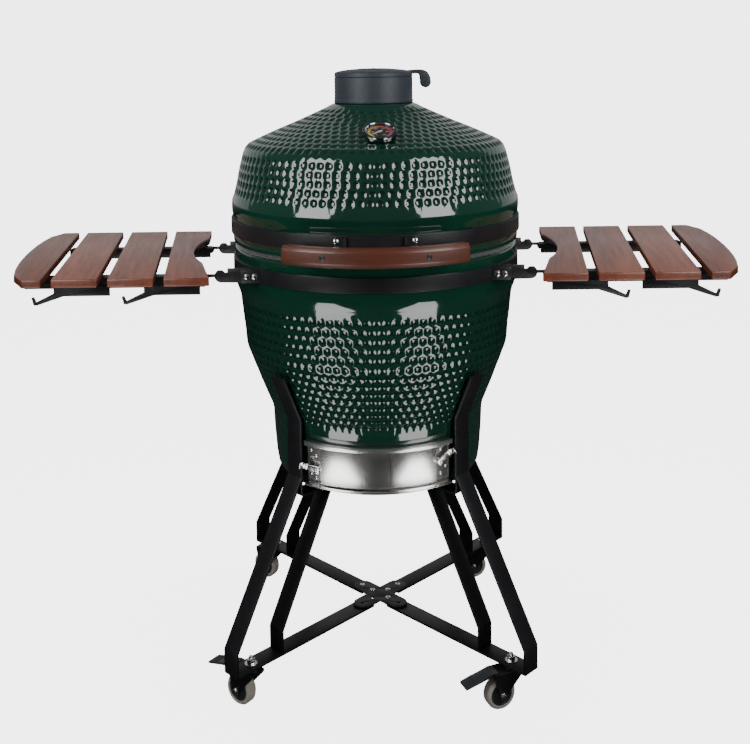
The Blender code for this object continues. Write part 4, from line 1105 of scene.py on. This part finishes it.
class KAMADO_OT_thermometer(bpy.types.Operator):
    """Make the dial thermometer: bezel, face, coloured arc, marks and numbers"""

    bl_idname = "kamado.thermometer"
    bl_label = "Thermometer"

    def execute(self, context):
        radius = GAUGE_RADIUS
        deep = GAUGE_DEEP
        well = radius - GAUGE_BEZEL
        turn = Matrix.Rotation(math.radians(GAUGE_TURN), 4, "Z")
        slope = Matrix.Rotation(math.radians(GAUGE_SLOPE), 4, "X")
        place = polar(GAUGE_SEAT[0], FRONT + GAUGE_TURN, GAUGE_SEAT[1])
        self.stand = Matrix.Translation(place) @ turn @ slope
        bezel = [
            (0.0, 0.0050), (well, 0.0050), (well, deep - 0.0012), (well + 0.0010, deep),
            (radius - 0.0016, deep), (radius - 0.0004, deep - 0.0008), (radius, deep - 0.0030),
            (radius, 0.0020), (radius - 0.0010, 0.0005), (0.0040, 0.0005), (0.0040, -0.0540),
            (0.0, -0.0590),
        ]
        shape = moved(spun(bezel, 96, closed=False), self.stand)
        finish_piece(
            "bezel_and_stem", shape, LID, ["bezel"], ["thermometer_case"], 30.0)
        plate = [(0.0, 0.00535), (well - 0.0003, 0.00535), (well - 0.0003, 0.00505), (0.0, 0.00505)]
        self.print_on("dial_face", spun(plate, 72, closed=False), "black")
        zones = (("yellow", 0.0, 0.28), ("orange", 0.28, 0.50), ("red", 0.50, 0.78), ("rose", 0.78, 1.0))
        for finish, start, end in zones:
            low, high = DIAL_ARC
            top = DIAL_Z + 0.00023
            section = [(low, DIAL_Z), (high, DIAL_Z), (high, top), (low, top)]
            arc = swept(section, self.angle_at(end), self.angle_at(start), 14)
            self.print_on("dial_arc_" + finish, arc, finish)
        marks = bmesh.new()
        near = DIAL_ARC[1] + 0.0006
        for index in range(DIAL_MARKS + 1):
            long = index % 5 == 0
            half = 0.00045 if long else 0.00022
            far = near + (0.0034 if long else 0.0020)
            tick = slab([(near, -half), (far, -half), (far, half), (near, half)], DIAL_Z, DIAL_Z + 0.00018)
            turn = math.radians(self.angle_at(index / DIAL_MARKS))
            gather(marks, tick, Matrix.Rotation(turn, 4, "Z"))
        self.print_on("dial_marks", marks, "cream")
        for index in range(DIAL_NUMBERS + 1):
            angle = math.radians(self.angle_at(index / DIAL_NUMBERS))
            self.number(context, str(100 * (index + 1)), angle)
        hub = [(0.0, 0.0082), (0.0022, 0.0080), (0.0028, 0.0075), (0.0028, 0.0055), (0.0, 0.0055)]
        shape = moved(spun(hub, 24, closed=False), self.stand)
        finish_piece("needle_hub", shape, "needle", ["cream"])
        for node, finish in (("thermometer_needle", "cream"), ("thermometer_lens", "glass")):
            NODES[node].data.materials.clear()
            NODES[node].data.materials.append(FINISHES[finish])
        return {"FINISHED"}

    def angle_at(self, share):
        """The dial's angle for a share of its scale."""
        start, end = DIAL_SPAN
        return start + (end - start) * share

    def print_on(self, name, shape, finish):
        finish_piece(name, moved(shape, self.stand), LID, [finish])

    def number(self, context, text, angle):
        """A small generic number on the dial, turned into a mesh before it is placed."""
        curve = bpy.data.curves.new("number", "FONT")
        curve.body = text
        curve.size = 0.0044
        curve.align_x = "CENTER"
        curve.align_y = "CENTER"
        curve.extrude = 0.00008
        carrier = bpy.data.objects.new("number", curve)
        context.scene.collection.objects.link(carrier)
        context.view_layer.update()
        graph = context.evaluated_depsgraph_get()
        mesh = bpy.data.meshes.new_from_object(carrier.evaluated_get(graph))
        bpy.data.objects.remove(carrier)
        shape = bmesh.new()
        shape.from_mesh(mesh)
        bmesh.ops.remove_doubles(shape, verts=shape.verts, dist=1e-6)
        place = polar(DIAL_NUMBER_REACH, math.degrees(angle), DIAL_Z + 0.00011)
        bmesh.ops.translate(shape, vec=place, verts=shape.verts)
        self.print_on("dial_number_" + text, shape, "cream")


class KAMADO_OT_draft(bpy.types.Operator):
    """Make the stainless draft door: frame, sliding panels, rivets and latches"""

    bl_idname = "kamado.draft"
    bl_label = "Draft door"

    def execute(self, context):
        self.frame_plate()
        self.panels()
        for side in SIDES:
            node = "draft_latch_" + side
            body = "latch_" + side
            ease_node(node, body, 0.0005, "stainless")
            self.latch_tab(side, body)
        rivets = bmesh.new()
        heads = ((-36.4, 0.487), (-33.2, 0.478), (-36.4, 0.440), (-33.2, 0.433),
                 (36.4, 0.497), (33.2, 0.488), (36.4, 0.452), (33.2, 0.440))
        for turn, z in heads:
            outside = polar(0.5, FRONT + turn, z)
            at = seat("draft_frame", outside, -outside.xy.to_3d())
            gather(rivets, dome_head(0.0034, 0.0018, socket=False), at)
        bright_fasteners("draft_rivets", rivets, BASE)
        return {"FINISHED"}

    def frame_plate(self):
        """The curved plate with rolled guide rails above and below its window."""
        inner, outer = DRAFT_SHEET
        out = DRAFT_RAIL_OUT
        half = DRAFT_HALF_ANGLE
        sill = filleted([
            (inner, 0.4180), (out, 0.4180), (out, 0.4205), (outer, 0.4222), (outer, 0.4285),
            (inner, 0.4285)], 0.0007, count=2)
        shape = swept(sill, FRONT - half, FRONT + half, 80)
        rail = filleted([
            (inner, 0.4930), (outer, 0.4930), (outer, 0.4985), (out, 0.4990), (out, 0.5090),
            (inner, 0.5090)], 0.0009, count=2)
        gather(shape, swept(rail, FRONT - half, FRONT + half, 80), finish=0)
        for start, end in ((-half, -DRAFT_WINDOW_HALF), (DRAFT_WINDOW_HALF, half)):
            cheek = [(inner, 0.4283), (outer, 0.4283), (outer, 0.4932), (inner, 0.4932)]
            gather(shape, swept(cheek, FRONT + start, FRONT + end, 14), finish=0)
        finish_piece("draft_frame_plate", shape, BASE, ["stainless"], ["draft_frame"])
        groove = bmesh.new()
        for z in (0.5012, 0.5035, 0.5058):
            line = [(out - 0.0003, z - 0.0006), (out + 0.0005, z), (out - 0.0003, z + 0.0006)]
            gather(groove, swept(line, FRONT - half + 0.5, FRONT + half - 0.5, 80))
        finish_piece("draft_rail_ribs", groove, BASE, ["rail"])

    def panels(self):
        """Two thin curved doors, the outer with a folded edge to pull it by."""
        plans = (
            ("draft_inner_door", "inner_draft_door", 0.2275, 0.2290, -7.0, 30.0),
            ("draft_door", "outer_draft_door", 0.2305, 0.2320, -30.0, 7.0),
        )
        for node, body, inner, outer, start, end in plans:
            section = filleted([
                (inner, 0.4255), (outer, 0.4255), (outer, 0.4960), (inner, 0.4960)], 0.0005, count=2)
            shape = swept(section, FRONT + start, FRONT + end, 60)
            if node == "draft_door":
                lip = filleted([
                    (outer - 0.0008, 0.4295), (outer + 0.0050, 0.4300), (outer + 0.0050, 0.4915),
                    (outer - 0.0008, 0.4920)], 0.0009, count=2)
                gather(shape, swept(lip, FRONT + end - 0.75, FRONT + end - 0.25, 4))
            finish_piece("sheet_" + node, shape, body, ["stainless"], [node])

    def latch_tab(self, side, body):
        """The pivot screw of a latch and the curled tab at its tip, riding with it."""
        turn, points, height = LATCHES[side]
        place = polar(0.2380, FRONT + turn, height)
        outward = place.xy.to_3d().normalized()
        rightward = UP.cross(outward)
        along = rightward * math.cos(math.radians(points)) + UP * math.sin(math.radians(points))
        turned = Matrix((along, outward.cross(along), outward)).transposed()
        stand = Matrix.Translation(place) @ turned.to_4x4()
        bright_fasteners("latch_screw_" + side, moved(dome_head(0.0052, 0.0026), stand), body)
        curl = [(0.0200, -0.0002), (0.0260, 0.0000), (0.0305, 0.0020), (0.0330, 0.0060), (0.0322, 0.0100)]
        tab = eased(plate_along(filleted(curl, 0.004, closed=False), 0.0130, 0.0016), 0.0005)
        finish_piece("latch_tab_" + side, moved(tab, stand), body, ["stainless"])


class KAMADO_OT_shelves(bpy.types.Operator):
    """Make the stained shelf boards, their rails, brackets and bolts"""

    bl_idname = "kamado.shelves"
    bl_label = "Side shelves"

    def execute(self, context):
        look = context.scene.kamado_wood
        shuffle = random.Random(12)
        for side, sign in SIDES.items():
            body = "shelf_" + side
            run = Vector((sign * BOARD_SPLAY, 1.0)).normalized()
            for index in range(1, 5):
                node = f"shelf_board_{side}_{index}"
                shape = copied(node, look.edge, 3)

                def along(co, run=run):
                    return (co.xy.dot(run), co.xy.dot(Vector((run.y, -run.x))), co.z)

                offset = [shuffle.uniform(-5.0, 5.0) for _ in range(3)]
                mark_grain(shape, along, offset)
                finish = "board_2" if index == 4 else "board_1"
                finish_piece("stained_" + node, shape, body, [finish], [node], 30.0)
            screws = bmesh.new()
            for place in ("front", "back"):
                node = f"shelf_rail_{place}_{side}"
                ease_node(node, body, 0.0006)
                y = SHELF_RAIL_Y[place]
                for index in range(4):
                    x = BOARD_START + BOARD_PITCH * index + BOARD_SPLAY * y
                    if index == 3:
                        x -= 0.012
                    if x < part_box(f"shelf_rail_{place}_right")[0].x + 0.045:
                        x += 0.02
                    gather(screws, hex_bolt(0.0042, 0.0028), facing((sign * x, y + 0.004, 0.8427), -UP))
                node = f"shelf_bracket_{place}_{side}"
                ease_node(node, BASE)
                self.bracket_bolts(node, y, sign)
            bright_fasteners("shelf_screws_" + side, screws, body)
        return {"FINISHED"}

    def bracket_bolts(self, node, y, sign):
        """Two bolts through the foot of a bracket."""
        bolts = bmesh.new()
        away = -1.0 if y < 0 else 1.0
        low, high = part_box(node)
        inner = min(abs(low.x), abs(high.x))
        for step in (0.011, 0.026):
            at = seat(node, (sign * (inner + step), away, 0.8435), (0, -away, 0))
            gather(bolts, hex_bolt(0.0046, 0.0034, 1.35), at)
        bright_fasteners(node + "_bolts", bolts, BASE)


class KAMADO_OT_stand(bpy.types.Operator):
    """Bend the flat-bar legs and make the ring, the cross plate and their fasteners"""

    bl_idname = "kamado.stand"
    bl_label = "Stand"

    def execute(self, context):
        look = context.scene.kamado_steel
        paths = (
            [(0.2790, 0.640), (0.2370, 0.546), (0.2370, 0.430), (0.4070, 0.132), (0.4070, 0.0842)],
            [(0.0380, 0.0865), (0.4045, 0.0865)],
            [(0.1540, 0.3920), (0.2940, 0.134), (0.2940, 0.0885)],
            [(0.1350, 0.3915), (0.2370, 0.3915), (0.2370, 0.430)],
        )
        for place, angle in LEG_ANGLES.items():
            shape = bmesh.new()
            for number, path in enumerate(paths):
                width = look.bar_width - 0.0006 * number
                bar = plate_along(filleted(path, look.bend, closed=False, count=5), width, look.bar_thick)
                gather(shape, eased(bar, 0.0007, 2, 50.0))
            moved(shape, Matrix.Rotation(math.radians(angle), 4, "Z"))
            node = "leg_" + place
            finish_piece("bent_" + node, shape, BASE, ["coat"], [node], 40.0)
        low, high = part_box("stand_ring")
        section = ring_section(RING_INNER, high.x, low.z, high.z, 0.0008, 2)
        finish_piece("eased_stand_ring", spun(section, 96), BASE, ["coat"], ["stand_ring"])
        ease_node("cross_plate", BASE, 0.0006)
        self.fasteners()
        return {"FINISHED"}

    def fasteners(self):
        """Screws in the cross plate, a nut over each swivel and bolts through the ring."""
        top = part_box("cross_plate")[1].z
        screws = bmesh.new()
        for angle, reach in ((135.0, 0.056), (135.0, 0.024), (45.0, 0.056), (45.0, 0.024), (315.0, 0.024)):
            gather(screws, dome_head(0.0062, 0.0020), facing(polar(reach, angle, top), UP))
        bright_fasteners("cross_plate_screws", screws, BASE)
        nuts = bmesh.new()
        bolts = bmesh.new()
        stem = [(0.0, 0.0155), (0.0038, 0.0150), (0.0044, 0.0140), (0.0044, 0.0), (0.0, 0.0)]
        for angle in LEG_ANGLES.values():
            at = facing(polar(CASTER_REACH, angle, 0.0890), UP)
            gather(nuts, hex_bolt(0.0088, 0.0075, 1.45), at)
            gather(nuts, spun(stem, 20, closed=False), at)
            gather(bolts, hex_bolt(0.0062, 0.0045), facing(polar(0.1450, angle, 0.3890), -UP))
        bright_fasteners("swivel_nuts", nuts, BASE)
        bright_fasteners("ring_bolts", bolts, BASE)


class KAMADO_OT_casters(bpy.types.Operator):
    """Make the casters: forks, two-tone wheels, axle nuts and ribbed brake pedals"""

    bl_idname = "kamado.casters"
    bl_label = "Casters"

    def execute(self, context):
        for place, angle in LEG_ANGLES.items():
            heading = Matrix.Rotation(math.radians(CASTER_HEADINGS[place]), 4, "Z")
            swivel = Matrix.Translation(polar(CASTER_REACH, angle, CASTER_TOP)) @ heading
            node = "caster_fork_" + place
            body = "fork_" + place
            ease_node(node, body, 0.0006)
            axle = swivel @ Matrix.Translation((CASTER_TRAIL, 0.0, WHEEL_RADIUS - CASTER_TOP))
            nuts = bmesh.new()
            for side in (-1, 1):
                at = axle @ facing((0.0, side * 0.0180, 0.0), (0, side, 0))
                gather(nuts, hex_bolt(0.0060, 0.0035, 1.2), at)
            bright_fasteners("axle_nuts_" + place, nuts, body)
            node = "caster_wheel_" + place
            shape = moved(self.wheel(), axle @ Matrix.Rotation(math.radians(90), 4, "X"))
            finish_piece(
                "moulded_" + node, shape, "wheel_" + place, ["tyre", "hub"], [node], 35.0)
            if place.startswith("front"):
                self.pedal(place.removeprefix("front_"), swivel)
        return {"FINISHED"}

    def wheel(self):
        """A pale tyre on a dark hub with a raised boss, about Z. Its two sides mirror each other."""
        half = 0.012
        tyre = [(0.0222, half - 0.0012), (0.0236, half), (0.0278, half - 0.0004),
                (WHEEL_RADIUS, half - 0.0048)]
        hub = [(0.0046, half - 0.0008), (0.0088, half - 0.0008), (0.0096, half - 0.0034),
               (0.0188, half - 0.0042), (0.0198, half - 0.0014), (0.0221, half - 0.0014)]
        tyre, hub = [side + [(radius, -z) for radius, z in reversed(side)] for side in (tyre, hub)]
        shape = spun(filleted(tyre, 0.0022), 72)
        return gather(shape, spun(filleted(hub, 0.0007, count=2), 60), finish=1)

    def pedal(self, side, swivel):
        """The pedal's pressed body, with ribs across its tread."""
        node = "brake_pedal_" + side
        shape = copied(node, 0.0008)
        for index in range(6):
            share = index / 5
            x = 0.0835 + 0.0195 * share
            z = -0.0138 - 0.0060 * share
            rib = slab(filleted([
                (x - 0.0012, z - 0.0010), (x + 0.0012, z - 0.0018), (x + 0.0010, z + 0.0006),
                (x - 0.0010, z + 0.0012)], 0.0004, count=2), -0.0135, 0.0135, "XZ")
            gather(shape, rib, swivel)
        finish_piece("ribbed_" + node, shape, "pedal_" + side, ["hub"], [node])


class KAMADO_PT_panel(bpy.types.Panel):
    """The grill's pieces, in the order in which they are made"""

    bl_idname = "KAMADO_PT_panel"
    bl_label = "Kamado Grill"
    bl_space_type = "VIEW_3D"
    bl_region_type = "UI"
    bl_category = "Kamado"

    def draw(self, context):
        for operator in OPERATORS:
            self.layout.operator(operator.bl_idname)
        for name in SETTINGS:
            group = getattr(context.scene, name)
            for setting in group.bl_rna.properties:
                if setting.identifier not in ("name", "rna_type"):
                    self.layout.prop(group, setting.identifier)


SETTINGS = {
    "kamado_ceramic": CeramicSettings,
    "kamado_wood": WoodSettings,
    "kamado_steel": SteelSettings,
    "kamado_studio": StudioSettings,
}
OPERATORS = (
    KAMADO_OT_stage, KAMADO_OT_ceramics, KAMADO_OT_firebox, KAMADO_OT_bands, KAMADO_OT_hinge,
    KAMADO_OT_handle, KAMADO_OT_vent, KAMADO_OT_thermometer, KAMADO_OT_draft, KAMADO_OT_shelves,
    KAMADO_OT_stand, KAMADO_OT_casters,
)
CLASSES = (*SETTINGS.values(), *OPERATORS, KAMADO_PT_panel)


def register():
    for made in CLASSES:
        bpy.utils.register_class(made)
    for name, group in SETTINGS.items():
        setattr(bpy.types.Scene, name, PointerProperty(type=group))


def unregister():
    for name in SETTINGS:
        delattr(bpy.types.Scene, name)
    for made in reversed(CLASSES):
        bpy.utils.unregister_class(made)


def main():
    register()
    make_finishes()
    for operator in OPERATORS:
        group, name = operator.bl_idname.split(".")
        getattr(getattr(bpy.ops, group), name)()


if __name__ == "__main__":
    main()
